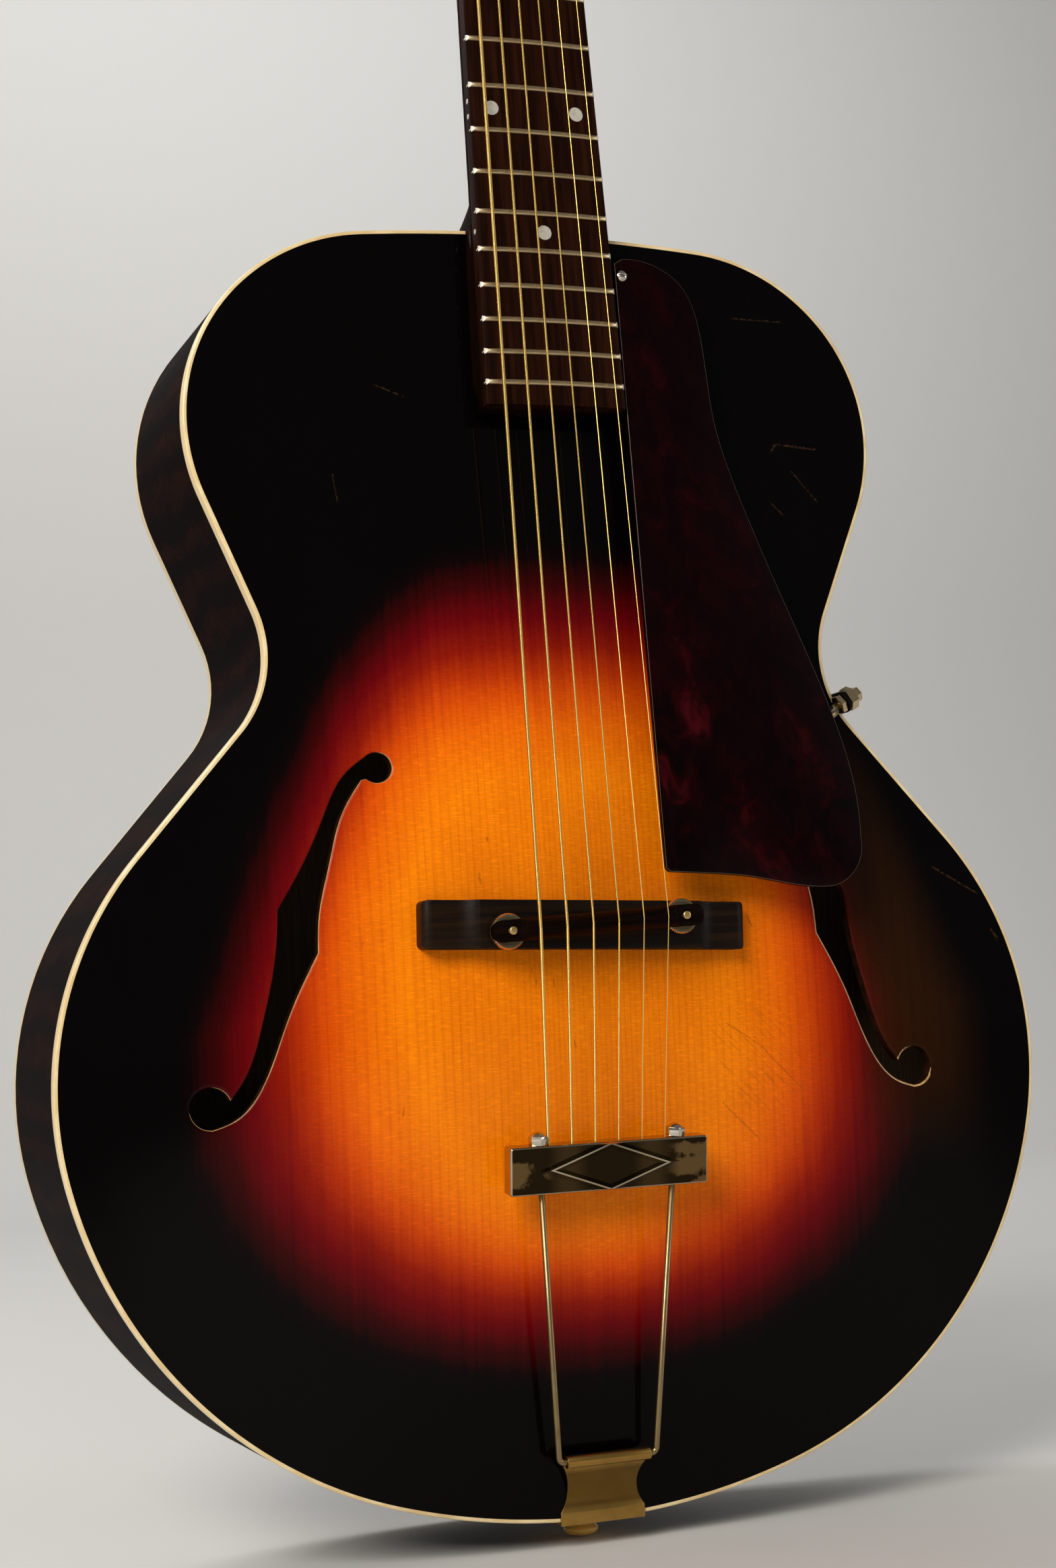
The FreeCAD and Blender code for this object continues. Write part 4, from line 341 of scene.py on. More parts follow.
def tortoise_celluloid():
    """Dark tortoise celluloid: red-brown clouds deep in black, polished."""
    f, x, y, z = started("tortoise", Coat_Weight=0.10, Coat_Roughness=0.05, Coat_IOR=1.5,
                         Specular_IOR_Level=0.02)
    swirl = f.noise(x * 0.045, y * 0.05, z * 0.032, 2.0) * 3.4
    cloud = f.noise(x * 0.06 + swirl, y * 0.05, z * 0.045 - swirl, 4.0, 0.62)
    vein = f.noise(x * 0.15 - swirl, y * 0.1, z * 0.10 + swirl)
    patch = f.noise(x * 0.02, 4.0, z * 0.014, 2.0).between(0.42, 0.62)
    shade = f.ramp(cloud, (0.40, (0.0018, 0.0002, 0.0003)), (0.52, (0.0060, 0.0002, 0.0005)),
                   (0.61, (0.014, 0.0003, 0.0011)), (0.74, (0.046, 0.0020, 0.0040)))
    shade = f.mix(vein.between(0.48, 0.66) * 0.7, shade, (0.004, 0.0003, 0.0005))
    calm = (patch * 0.6).most(z.between(300.0, 350.0) * 0.55)
    return f.made(f.mix(calm, shade, (0.004, 0.0003, 0.0005)), 0.26 + vein * 0.12, vein, 0.01, 0.3)


def wound_wire(name, colour, groove, pitch):
    """Round-wound string: bronze turns with dark grooves between them."""
    f, x, y, z = started(name, Metallic=1.0)
    turns = (z * (TAU / pitch)).sine() * 0.5 + 0.5
    age = f.noise(x * 0.2, y * 0.2, z * 0.03)
    colour = f.mix((turns * 1.3).least(1.0), groove, f.mix(age * 0.5, colour, (0.64, 0.41, 0.12)))
    return f.made(colour, 0.24 + age * 0.18, turns, 0.08, 0.8)


def bone_white(name, pale, deep):
    """Polished bone or cream plastic with faint growth lines."""
    f, x, y, z = started(name, Coat_Weight=0.4, Coat_Roughness=0.12, Subsurface_Weight=0.1,
                         Subsurface_Radius=(0.002, 0.0012, 0.0007))
    cloud = f.noise(x * 0.12, y * 0.12, z * 0.12, 4.0)
    lines = f.noise(x * 1.5, y * 0.2, z * 0.2)
    colour = f.mix((cloud * 0.7 + lines * 0.4).between(0.35, 0.8), pale, deep)
    return f.made(colour, 0.28 + lines * 0.14, lines, 0.012, 0.4)


def pearl_shell():
    """Mother-of-pearl dots with shifting pale bands."""
    f, x, y, z = started("pearl", Coat_Weight=0.8, Coat_Roughness=0.08)
    swirl = f.noise(x * 0.25, y * 0.25, z * 0.25, 2.0) * 5.0
    bands = f.noise(x * 0.5 + swirl, y * 0.5, z * 0.7 - swirl, 2.0)
    colour = f.ramp(bands, (0.30, (0.44, 0.40, 0.33)), (0.5, (0.58, 0.54, 0.45)), (0.7, (0.46, 0.49, 0.45)))
    return f.made(colour, 0.22 + bands * 0.15, bands, 0.01, 0.3)


def black_gloss():
    """Black lacquer with fine polishing lines."""
    f, x, y, z = started("black_gloss", Coat_Weight=0.22, Coat_Roughness=0.08, Specular_IOR_Level=0.05)
    sweep = f.noise(x * 0.06, y * 0.06, z * 0.06, 5.0)
    lines = f.noise(x * 3.0, y * 3.0, z * 0.3, 2.0)
    colour = f.mix(sweep.between(0.4, 0.75), (0.006, 0.006, 0.0065), (0.016, 0.014, 0.013))
    return f.made(colour, 0.22 + sweep * 0.2, lines, 0.003, 0.15)


TOP = burst_spruce()
MAPLE_BACK = shaded_maple("back_maple", (0.010, 0.004, 0.003), (0.066, 0.016, 0.0065), 0.45)
MAPLE_RIM = shaded_maple("rim_maple", (0.004, 0.002, 0.0018), (0.022, 0.006, 0.0032), 0.5)
NECK_WOOD = shaded_maple("neck_mahogany", (0.006, 0.0022, 0.0014), (0.030, 0.0085, 0.0038), 0.08)
BARE = bare_wood()
IVORY = ivory_celluloid("ivory_binding", 0.5)
BOARD_WOOD = rosewood("board_rosewood", (0.0075, 0.0018, 0.0007), (0.025, 0.0060, 0.0018), 0.04)
BASE_WOOD = rosewood("base_rosewood", (0.0038, 0.0013, 0.0004), (0.017, 0.0068, 0.0012), 0.12)
SADDLE_WOOD = rosewood("saddle_rosewood", (0.002, 0.0006, 0.0003), (0.006, 0.0018, 0.0006), 0.03)
NICKEL = plated("nickel", (0.62, 0.58, 0.50), (0.40, 0.34, 0.24), 0.06, 0.35)
# Tarnished nickel for the bracket, with painted shade on its leaf between 7 and 18.5 mm up, easing in from
# 4.5 and out to 21.5.
AGED_SHADED = plated("aged_nickel", (0.44, 0.26, 0.065), (0.30, 0.165, 0.034), 0.2, 0.5, (4.5, 7.0, 18.5, 21.5))
ROD_METAL = plated("rod_nickel", (0.33, 0.245, 0.12), (0.20, 0.135, 0.055), 0.22, 0.5)
FRET_METAL = plated("fret_silver", (0.62, 0.47, 0.28), (0.40, 0.28, 0.14), 0.2, 0.5)
# Fret ends in a pale non-metal finish: a painted highlight that stays bright from either side.
FRET_END_HIGHLIGHT = bone_white("fret_end_painted_highlight", (0.80, 0.76, 0.66), (0.66, 0.60, 0.48))
BRASS = plated("brass", (0.70, 0.50, 0.19), (0.40, 0.26, 0.09), 0.24, 0.45)
WHEEL_METAL = plated("wheel_metal", (0.24, 0.19, 0.11), (0.12, 0.09, 0.046), 0.34, 0.6)
KNURL_HIGHLIGHT = plated("knurl_painted_highlight", (0.86, 0.72, 0.44), (0.56, 0.43, 0.22), 0.16, 0.3)
CLAMP_METAL = plated("clamp_metal", (0.014, 0.011, 0.008), (0.006, 0.0045, 0.003), 0.34, 0.6)
NUT_METAL = plated("nut_metal", (0.64, 0.50, 0.30), (0.40, 0.30, 0.16), 0.15, 0.4)
STEEL = plated("steel", (0.56, 0.55, 0.53), (0.34, 0.31, 0.28), 0.20, 0.5)
TORTOISE = tortoise_celluloid()
WOUND = wound_wire("wound_string", (1.0, 0.74, 0.24), (0.52, 0.31, 0.075), 0.42)
# Gold tint on the plain strings: a painted reflection of the amber top.
PLAIN = plated("plain_string", (1.0, 0.70, 0.22), (0.88, 0.56, 0.15), 0.2, 0.4)
BONE = bone_white("bone", (0.78, 0.70, 0.54), (0.62, 0.50, 0.32))
KEY_CREAM = bone_white("key_cream", (0.80, 0.74, 0.60), (0.66, 0.55, 0.38))
BUTTON_CREAM = bone_white("button_cream", (0.88, 0.54, 0.12), (0.68, 0.38, 0.065))
PEARL = pearl_shell()
GLOSS_BLACK = black_gloss()
# A lighter finish for the guard's eased edge: a painted highlight.
GUARD_EDGE_HIGHLIGHT = bone_white("guard_edge_painted_highlight", (0.11, 0.075, 0.045), (0.06, 0.038, 0.022))
PLATE_NICKEL_REFLECTIONS = nickel_painted_reflections()
NICKEL_HIGHLIGHT = plated("nickel_painted_highlight", (0.50, 0.42, 0.28), (0.30, 0.235, 0.14), 0.12, 0.45)
HOLE_RIM_HIGHLIGHT = bone_white("hole_rim_painted_highlight", (0.66, 0.40, 0.16), (0.26, 0.12, 0.035))
HOLE_EDGE = rosewood("hole_edge", (0.010, 0.003, 0.0015), (0.030, 0.009, 0.004))


# Making pieces


def added(name, data):
    obj = bpy.data.objects.new(name, data)
    bpy.context.scene.collection.objects.link(obj)
    return obj


def shown(name, mesh, finishes, sharp, node=None, body=None, slot=None):
    """A mesh set in the scene; the node that it stands for gives its body and slot, unless they are named,
    though the slot is not used.
    """
    for finish in finishes:
        mesh.materials.append(finish)
    mesh.shade_smooth()
    mesh.set_sharp_from_angle(angle=math.radians(sharp))
    obj = added(name, mesh)
    body, slot = body or HOME.get(node), slot or SLOTS.get(node)
    if body:
        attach(obj, body)
    if node:
        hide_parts(node)
    return obj


def piece(name, form, finishes, node=None, sharp=40.0, body=None, slot=None):
    """A new piece from points in millimetres, faces and, with several finishes, a mark for each face."""
    points, faces, *marks = form
    mesh = bpy.data.meshes.new(name)
    mesh.from_pydata([Vector(p) * MM for p in points], [], faces)
    work = bmesh.new()
    work.from_mesh(mesh)
    bmesh.ops.recalc_face_normals(work, faces=work.faces)
    work.to_mesh(mesh)
    work.free()
    if marks:
        mesh.polygons.foreach_set("material_index", marks[0])
    return shown(name, mesh, finishes, sharp, node, body, slot)


def dressed(node, finish, edge=0.0, sharp=32.0, rounds=2, edge_finish=None):
    """A node's own form with smooth facets and, where asked, eased edges with a finish of their own."""
    work = bmesh.new()
    work.from_mesh(NODES[node].data)
    bmesh.ops.remove_doubles(work, verts=work.verts, dist=2e-6)
    if edge:
        bmesh.ops.dissolve_limit(work, angle_limit=math.radians(0.6), verts=work.verts, edges=work.edges)
        bends = [e for e in work.edges
                 if len(e.link_faces) == 2 and e.calc_face_angle(0.0) > math.radians(sharp)]
        bmesh.ops.bevel(work, geom=bends, offset=edge * MM, offset_type="OFFSET", segments=rounds,
                        profile=0.5, affect="EDGES", clamp_overlap=True, material=1 if edge_finish else -1)
    mesh = bpy.data.meshes.new(node + "_piece")
    work.to_mesh(mesh)
    work.free()
    finishes = [finish, edge_finish] if edge_finish else [finish]
    return shown(node + "_piece", mesh, finishes, 50.0 if edge else sharp, node)


def skin(rings, loop=False):
    """Points and faces through rings of equal count, capped unless they close on themselves."""
    count = len(rings[0])
    points = [p for ring in rings for p in ring]
    faces = []
    last = len(rings) if loop else len(rings) - 1
    for i in range(last):
        a, b = i * count, (i + 1) % len(rings) * count
        faces += [(a + k, a + (k + 1) % count, b + (k + 1) % count, b + k) for k in range(count)]
    if not loop:
        faces += [tuple(range(count - 1, -1, -1)), tuple(range(len(points) - count, len(points)))]
    return points, faces


def joined(*parts):
    """Several point and face lists as one."""
    points, faces = [], []
    for some_points, some_faces in parts:
        base = len(points)
        points += list(some_points)
        faces += [tuple(base + k for k in face) for face in some_faces]
    return points, faces


def shift(*place):
    return Matrix.Translation(place)


def swing(degrees, axis):
    return Matrix.Rotation(math.radians(degrees), 4, axis)


def aimed(heading, axis="Z"):
    """The turn that points an axis along a heading."""
    return heading.to_track_quat(axis, "Y").to_matrix().to_4x4()


def ring_at(place, height, radii):
    """A ring round the place's Z axis, with one point for each radius."""
    angles = [TAU * k / len(radii) for k in range(len(radii))]
    return [place @ Vector((r * math.cos(t), r * math.sin(t), height)) for r, t in zip(radii, angles)]


def rings_at(place, profile, steps):
    return [ring_at(place, height, [radius] * steps) for radius, height in profile]


def turned(profile, place, steps=40):
    """A turned form from (radius, height) pairs about the place's Z axis."""
    return skin(rings_at(place, profile, steps))


def tube(path, radius, sides=10):
    """Round wire along points, with rings that do not twist."""
    path = [Vector(p) for p in path]
    heading = (path[1] - path[0]).normalized()
    side = heading.orthogonal().normalized()
    rings = []
    for k, point in enumerate(path):
        ahead = (path[min(k + 1, len(path) - 1)] - path[max(k - 1, 0)]).normalized()
        side = (side - ahead * side.dot(ahead)).normalized()
        other = ahead.cross(side)
        rings.append([point + (side * math.cos(t) + other * math.sin(t)) * radius
                      for t in (TAU * j / sides for j in range(sides))])
    return skin(rings)


def smooth_line(knots, steps=8):
    """Points on a natural cubic through knots in the plane."""
    knots = np.array(knots, float)
    pace = np.concatenate([[0.0], np.cumsum(np.linalg.norm(np.diff(knots, axis=0), axis=1))])
    gap = np.diff(pace)
    count = len(knots)
    system = np.eye(count)
    right = np.zeros((count, 2))
    for k in range(1, count - 1):
        system[k, k - 1:k + 2] = gap[k - 1], 2 * (gap[k - 1] + gap[k]), gap[k]
        right[k] = 6 * ((knots[k + 1] - knots[k]) / gap[k] - (knots[k] - knots[k - 1]) / gap[k - 1])
    curve = np.linalg.solve(system, right)
    line = []
    for k in range(count - 1):
        for s in np.linspace(0.0, 1.0, steps, endpoint=False):
            a, b, h = 1 - s, s, gap[k]
            line.append(a * knots[k] + b * knots[k + 1]
                        + ((a ** 3 - a) * curve[k] + (b ** 3 - b) * curve[k + 1]) * h * h / 6)
    return [tuple(p) for p in line] + [tuple(knots[-1])]


# The body


def treble_edge(inset=0.0, pitch=2.5):
    """Half outline from the tail to the neck, drawn in by an inset."""
    x = z = heading = 0.0
    edge = []
    for size, sweep, side in OUTLINE + ((None, None, 1),):
        if size is None:
            size, sweep = x / math.sin(heading), 180.0 - math.degrees(heading)
        bend = side * math.radians(sweep)
        steps = max(3, round((size * abs(bend) if side else size) / pitch))
        cx, cz = x - side * size * math.sin(heading), z + side * size * math.cos(heading)
        for k in range(steps + 1):
            h = heading + bend * k / steps
            if side:
                px, pz = cx + side * size * math.sin(h), cz - side * size * math.cos(h)
            else:
                px, pz = x + size * k / steps * math.cos(h), z + size * k / steps * math.sin(h)
            if k < steps:
                edge.append((px - inset * math.sin(h), pz + inset * math.cos(h)))
        x, z, heading = px, pz, heading + bend
    return edge + [(0.0, z - inset)]


EDGE = np.array(treble_edge())
LENGTH = EDGE[-1, 1]


def body_loop(inset):
    half = treble_edge(inset)
    return half + [(-x, z) for x, z in reversed(half[1:-1])]


def half_width(z):
    return np.interp(z, EDGE[:, 1], EDGE[:, 0])


def soft_step(u):
    u = np.clip(u, 0.0, 1.0)
    return u * u * (3 - 2 * u)


def arch(x, z, height):
    """Carved height: flat edge, hollow recurve, full crown."""
    across = 1 - np.abs(x) / np.maximum(half_width(z) - ARCH_EDGE, 5.0)
    low = (z - ARCH_EDGE) / (ARCH_CREST - ARCH_EDGE)
    high = (LENGTH - ARCH_EDGE - z) / (LENGTH - ARCH_EDGE - ARCH_CREST)
    along = np.where(z < ARCH_CREST, low, high)
    return height * soft_step(np.maximum(along, 0) ** 0.8) * soft_step(np.maximum(across, 0) ** 0.85)


def inside(loop, spots):
    """Which points lie within a closed loop."""
    loop = np.array(loop)
    hits = np.zeros(len(spots), bool)
    for (x0, z0), (x1, z1) in zip(loop, np.roll(loop, -1, axis=0)):
        if z0 == z1:
            continue
        cross = (spots[:, 1] > z0) != (spots[:, 1] > z1)
        hits ^= cross & (spots[:, 0] < (x1 - x0) * (spots[:, 1] - z0) / (z1 - z0) + x0)
    return hits


def grown(loop, step):
    """A loop moved outwards by a step."""
    loop = np.array(loop)
    ahead = np.roll(loop, -1, axis=0) - np.roll(loop, 1, axis=0)
    normal = np.stack([ahead[:, 1], -ahead[:, 0]], axis=1)
    normal /= np.linalg.norm(normal, axis=1, keepdims=True)
    area = np.sum(loop[:, 0] * np.roll(loop[:, 1], -1) - np.roll(loop[:, 0], -1) * loop[:, 1])
    return [tuple(p) for p in loop + normal * (step if area > 0 else -step)]


def sound_hole():
    """Edge of the treble f-hole: upper eye, nicked stem, lower eye."""
    upper, r_up = (77.3, 289.2), 5.9
    lower, r_low = (146.0, 164.3), 7.8
    nick_out, nick_in = (117.9, 236.5), (103.7, 219.8)
    lean = r_up * math.sqrt(0.5)

    def clear(points, centre, radius):
        return [p for p in points if math.dist(p, centre) >= radius]

    def bearing(point, centre):
        return math.atan2(point[1] - centre[1], point[0] - centre[0])

    def eye(centre, radius, start, end, steps):
        angles = np.linspace(start, end, steps + 1)[1:-1]
        return [(centre[0] + radius * math.cos(t), centre[1] + radius * math.sin(t)) for t in angles]

    outer = smooth_line([(upper[0] + lean, upper[1] + lean), (89.9, 286.6), (97.5, 273.5), (106.0, 256.0),
                         nick_out])
    bow = smooth_line([nick_out, (119.4, 221.0), (125.8, 193.6), (134.3, 172.3), (140.2, 165.2)], 16)
    belly = smooth_line([(145.4, 156.4), (136.8, 159.6), (125.7, 172.7), (115.6, 196.8), nick_in])
    neck = smooth_line([nick_in, (102.9, 232.0), (97.4, 254.0), (91.4, 272.3), (83.4, 284.6)], 10)
    bow, belly, neck = clear(bow, lower, r_low), clear(belly, lower, r_low), clear(neck, upper, r_up)
    start, end = bearing(bow[-1], lower), bearing(belly[0], lower)
    low_eye = eye(lower, r_low, start, end - (TAU if end > start else 0.0), 36)
    up_eye = eye(upper, r_up, bearing(neck[-1], upper), math.pi / 4 - TAU, 32)
    loop = outer + bow[1:] + low_eye + belly + neck[1:] + up_eye
    tidy = [loop[0]]
    for point in loop[1:]:
        if math.dist(point, tidy[-1]) > 0.35:
            tidy.append(point)
    return tidy


def away(loop, spots):
    """Distance of points from a closed loop."""
    least = np.full(len(spots), 1e9)
    loop = np.array(loop)
    for start, end in zip(loop, np.roll(loop, -1, axis=0)):
        ahead = end - start
        share = np.clip(((spots - start) @ ahead) / (ahead @ ahead), 0.0, 1.0)
        least = np.minimum(least, np.linalg.norm(spots - start - share[:, None] * ahead, axis=1))
    return least


def meshed(loops, loose=()):
    """Points and triangles over closed loops and loose points in the plane."""
    spots, edges = [], []
    for loop in loops:
        ring = list(range(len(spots), len(spots) + len(loop)))
        spots += loop
        edges += list(zip(ring, ring[1:] + ring[:1]))
    flat = geometry.delaunay_2d_cdt([Vector(p) for p in [*spots, *loose]], edges, [], 0, 1e-5)
    return np.array([list(v) for v in flat[0]]), np.array(flat[2])


def carved_plate(level, height, side, holes, pitch):
    """A carved plate as one closed form with eased holes, and the finish of each of its faces."""
    # Width and depth of a hole's eased edge, the last ring round it, and how far a face looks for the hole
    # when picked for the painted highlight
    ease, deep, brow, look = 0.75, 0.55, 1.35, 1.2
    rim = body_loop(PLATE_INSET)
    loops = [rim]
    for hole in holes:
        loops += [hole, grown(hole, 0.25), grown(hole, ease), grown(hole, brow)]
    xs, zs = np.meshgrid(np.arange(-205.0, 206.0, pitch), np.arange(2.0, LENGTH, pitch))
    xs[1::2] += pitch / 2
    grid = np.stack([xs.ravel(), zs.ravel()], axis=1)
    keep = inside(body_loop(PLATE_INSET + pitch * 0.6), grid)
    for hole in holes:
        keep &= ~inside(grown(hole, brow + pitch * 0.45), grid)
    plan, faces = meshed(loops, grid[keep])
    middle = plan[faces].mean(axis=1)
    good = inside(rim, middle)
    drop = np.zeros(len(plan))
    pale = np.zeros(len(faces), bool)
    for hole in holes:
        good &= ~inside(hole, middle)
        # Faces just beside a hole, with the hole outwards or upwards of them, take a pale painted highlight,
        # wider on the treble side.
        outward = np.stack([np.sign(middle[:, 0]) * look, np.zeros(len(middle))], axis=1)
        facing = inside(hole, middle + outward) | inside(hole, middle + np.array((0.0, look)))
        pale |= facing & (away(hole, middle) < np.where(middle[:, 0] > 0, 0.7, 0.25))
        drop = np.maximum(drop, deep * np.clip(1 - away(hole, plan) / ease, 0.0, 1.0) ** 2.5)
    faces = [tuple(int(k) for k in face) for face in faces[good]]
    skin_y = level + side * arch(plan[:, 0], plan[:, 1], height)
    outer = [(x, y - side * d, z) for (x, z), y, d in zip(plan, skin_y, drop)]
    inner = [(x, y - side * PLATE, z) for (x, z), y in zip(plan, skin_y)]
    count = len(plan)
    sides = {(a, b): True for face in faces for a, b in zip(face, face[1:] + face[:1])}
    walls = [(b, a, a + count, b + count) for a, b in sides if (b, a) not in sides]
    shell = faces + [tuple(k + count for k in reversed(face)) for face in faces] + walls
    marks = [3 if edge else 0 for edge in pale[good]] + [1] * len(faces) + [2] * len(walls)
    return outer + inner, shell, marks


def binding_form(level, side):
    """Edge binding with a rounded outer corner, from its level into the body."""
    high = level - side * PLATE
    section = [(1.5, level), (0.75, level), (0.32, level - side * 0.10), (0.10, level - side * 0.32),
               (0.0, level - side * 0.75), (0.0, high), (1.5, high)]
    rings = [[(x, y, z) for x, z in body_loop(inset)] for inset, y in section]
    return skin(list(map(list, zip(*rings))), True)


def make_body():
    hole = sound_hole()
    holes = [hole, [(-x, z) for x, z in reversed(hole)]]
    top = carved_plate(FRONT, ARCH_FRONT, -1, holes, 5.0)
    piece("carved_top", top, [TOP, BARE, HOLE_EDGE, HOLE_RIM_HIGHLIGHT], "top_plate", 62.0)
    back = carved_plate(BACK, ARCH_BACK, 1, [], 7.0)
    piece("carved_back", back, [MAPLE_BACK, BARE, MAPLE_BACK], "back_plate", 62.0)
    piece("front_binding", binding_form(FRONT, -1), [IVORY], "top_binding", 35.0)
    piece("back_edge_binding", binding_form(BACK, 1), [IVORY], "back_binding", 35.0)
    for node in ("side_bass", "side_treble"):
        dressed(node, MAPLE_RIM)
    for node in ("neck_block", "tail_block", "top_lining", "back_lining", "tone_bars"):
        dressed(node, BARE)


# The neck and head


def fret_place(number):
    return SCALE * (1 - 2 ** (-number / 12.0))


JOIN_Z = LENGTH + NECK_GAP
NUT_Z = fret_place(14)
BOARD_END = NUT_Z - fret_place(FRET_COUNT) - 9.0
NECK = shift(0, FRONT - NECK_RISE, JOIN_Z) @ swing(-NECK_ANGLE, "X")
HEAD = NECK @ shift(0, 0, NUT_Z + NUT_DEPTH) @ swing(-HEAD_ANGLE, "X")
BRIDGE_Z = JOIN_Z + (NUT_Z - SCALE) * math.cos(math.radians(NECK_ANGLE)) - SADDLE_BACK
CREST_Y = FRONT - float(arch(0.0, BRIDGE_Z, ARCH_FRONT))
BRIDGE = shift(0, CREST_Y, BRIDGE_Z) @ swing(-SADDLE_TURN, "Y")

# Side, X and Z of each string's post in the head's frame
TUNERS = {number: (side, side * POST_X, POST_FIRST + POST_PITCH * step)
          for side, numbers in ((1, (1, 2, 3)), (-1, (6, 5, 4))) for step, number in enumerate(numbers)}


def board_half(z):
    share = (NUT_Z - z) / (NUT_Z - BOARD_END)
    return 0.5 * (NUT_WIDTH + share * (BOARD_END_WIDTH - NUT_WIDTH))


def board_top(x):
    return -BOARD_THICK + BOARD_RADIUS - math.sqrt(BOARD_RADIUS ** 2 - x * x)


def board_form():
    """Fingerboard, rounded across, with eased edges and lower end."""
    rings = []
    levels = [BOARD_END, BOARD_END + 0.12, *np.linspace(BOARD_END + 0.4, NUT_Z, 24)]
    for step, z in enumerate(levels):
        half, ease = board_half(z), (0.4, 0.1, 0.0)[min(step, 2)]
        brow = board_top(half) + ease
        edge = [(half - 0.12, brow + 0.1), (half, brow + 0.4), (half, 0.0)]
        ring = [(x, board_top(x) + ease, z) for x in np.linspace(0.4 - half, half - 0.4, 27)]
        ring += [(x, y, z) for x, y in edge] + [(-x, y, z) for x, y in reversed(edge)]
        rings.append([NECK @ Vector(p) for p in ring])
    return skin(rings)


def dot_forms():
    """Pearl dots on the board's face and small ones on its bass edge, two of each at the twelfth fret."""
    parts = []
    for number in (3, 5, 7, 9, 12, 15):
        z = NUT_Z - 0.5 * (fret_place(number) + fret_place(number - 1))
        across, along = ((-18.0, 18.0), (-3.2, 3.2)) if number == 12 else ((0.0,), (0.0,))
        spots = [(x, board_top(x), z, 3.0, Vector((x / BOARD_RADIUS, -1.0, 0.0))) for x in across]
        spots += [(-board_half(z + step), -0.45 * BOARD_THICK, z + step, 1.1, Vector((-1.0, 0.0, 0.0)))
                  for step in along]
        for *centre, radius, out in spots:
            rim = radius - 0.02
            profile = [(0.2, -1.4), (rim, -1.4), (rim, 0.0), (radius - 0.1, 0.05), (0.2, 0.06)]
            parts.append(turned(profile, NECK @ shift(*centre) @ aimed(out), 32))
    return joined(*parts)


def fret_form(number):
    """A crowned fret with bevelled ends and its tang showing in the board's edge."""
    z = NUT_Z - fret_place(number)
    half = board_half(z)
    half_angle = math.asin(half / BOARD_RADIUS)
    flank = [(1.0, 0.0), (0.96, 0.28), (0.82, 0.62), (0.52, 0.90)]
    crown = [(-across, rise) for across, rise in flank] + [(0.0, 1.0)] + flank[::-1]
    rings = []
    for t in np.linspace(-1.0, 1.0, 13):
        ring = []
        for across, rise in crown:
            tall = rise * FRET_HEIGHT
            a = t * (half_angle - 1.15 * tall / BOARD_RADIUS)
            reach = BOARD_RADIUS + tall
            ring.append(NECK @ Vector((reach * math.sin(a), -BOARD_THICK + BOARD_RADIUS - reach * math.cos(a),
                                       z + across * FRET_WIDTH / 2)))
        rings.append(ring)
    parts = [skin(rings)]
    top = board_top(half)
    tang = ((0.0, -0.3), (0.0, 0.3), (1.9, 0.22), (1.9, -0.22))
    for side in (-1, 1):
        parts.append(skin([[NECK @ Vector((side * (half + out), top + d, z + w)) for d, w in tang]
                           for out in (-1.2, 0.04)]))
    return joined(*parts)


def worm_form(place):
    """Worm shaft: cut right-hand thread between the ears, collar and stem to the button."""
    pitch, sides, run, radius, deep = 2.04, 24, 5.6, 2.2, 0.62
    stem = [(0.3, -8.0), (1.3, -8.0), (1.5, -7.7), (1.5, -run - 0.02)]
    tail = [(1.5, run + 0.02), (1.5, 21.5), (2.25, 21.9), (2.25, 23.1), (1.2, 23.5), (1.2, 30.4), (0.3, 30.4)]
    thread = []
    for height in np.linspace(-run, run, 67):
        phase = (height / pitch - np.arange(sides) / sides) % 1.0
        thread.append(ring_at(place, height, radius - deep * soft_step(np.abs(phase - 0.5) * 3.2 - 0.35)))
    return skin(rings_at(place, stem, sides) + thread + rings_at(place, tail, sides))


def make_neck():
    dressed("neck", NECK_WOOD, sharp=34.0)
    piece("rounded_board", board_form(), [BOARD_WOOD], "fingerboard", 30.0)
    frets = [fret_form(k) for k in range(1, FRET_COUNT + 1)]
    ends = 2 + 2 * 6  # a fret's last faces: both ends of its crown, and six on each tang
    # These end faces take the pale painted highlight.
    marks = [int(k >= len(faces) - ends) for _, faces in frets for k in range(len(faces))]
    piece("fret_wire", (*joined(*frets), marks), [FRET_METAL, FRET_END_HIGHLIGHT], "frets", 46.0)
    piece("pearl_dots", dot_forms(), [PEARL], "position_dots")
    dressed("nut", BONE)
    dressed("head_veneer", GLOSS_BLACK, edge=0.25)
    dressed("truss_rod_cover", GLOSS_BLACK, edge=0.4)
    dressed("truss_rod", STEEL)
    dressed("truss_rod_nut", BRASS, edge=0.25)
    for node in ("cover_screws", "tuner_screws", "tuner_bushings", "tuner_strips"):
        dressed(node, NICKEL)
    for number, (side, x, z) in TUNERS.items():
        dressed("tuner_post_%d" % number, NICKEL)
        dressed("tuner_key_%d" % number, KEY_CREAM, sharp=60.0)
        place = HEAD @ shift(x, 19.5, z + 7.6) @ swing(90 * side, "Y")
        piece("worm_%d" % number, worm_form(place), [NICKEL], "tuner_worm_%d" % number, 50.0)


# The bridge


def stud_axis(side, rise):
    """Where a stud's axis is a rise above the top, Z away from the top."""
    return BRIDGE @ shift(side * STUD_SPAN / 2, -rise, 0) @ swing(90, "X")


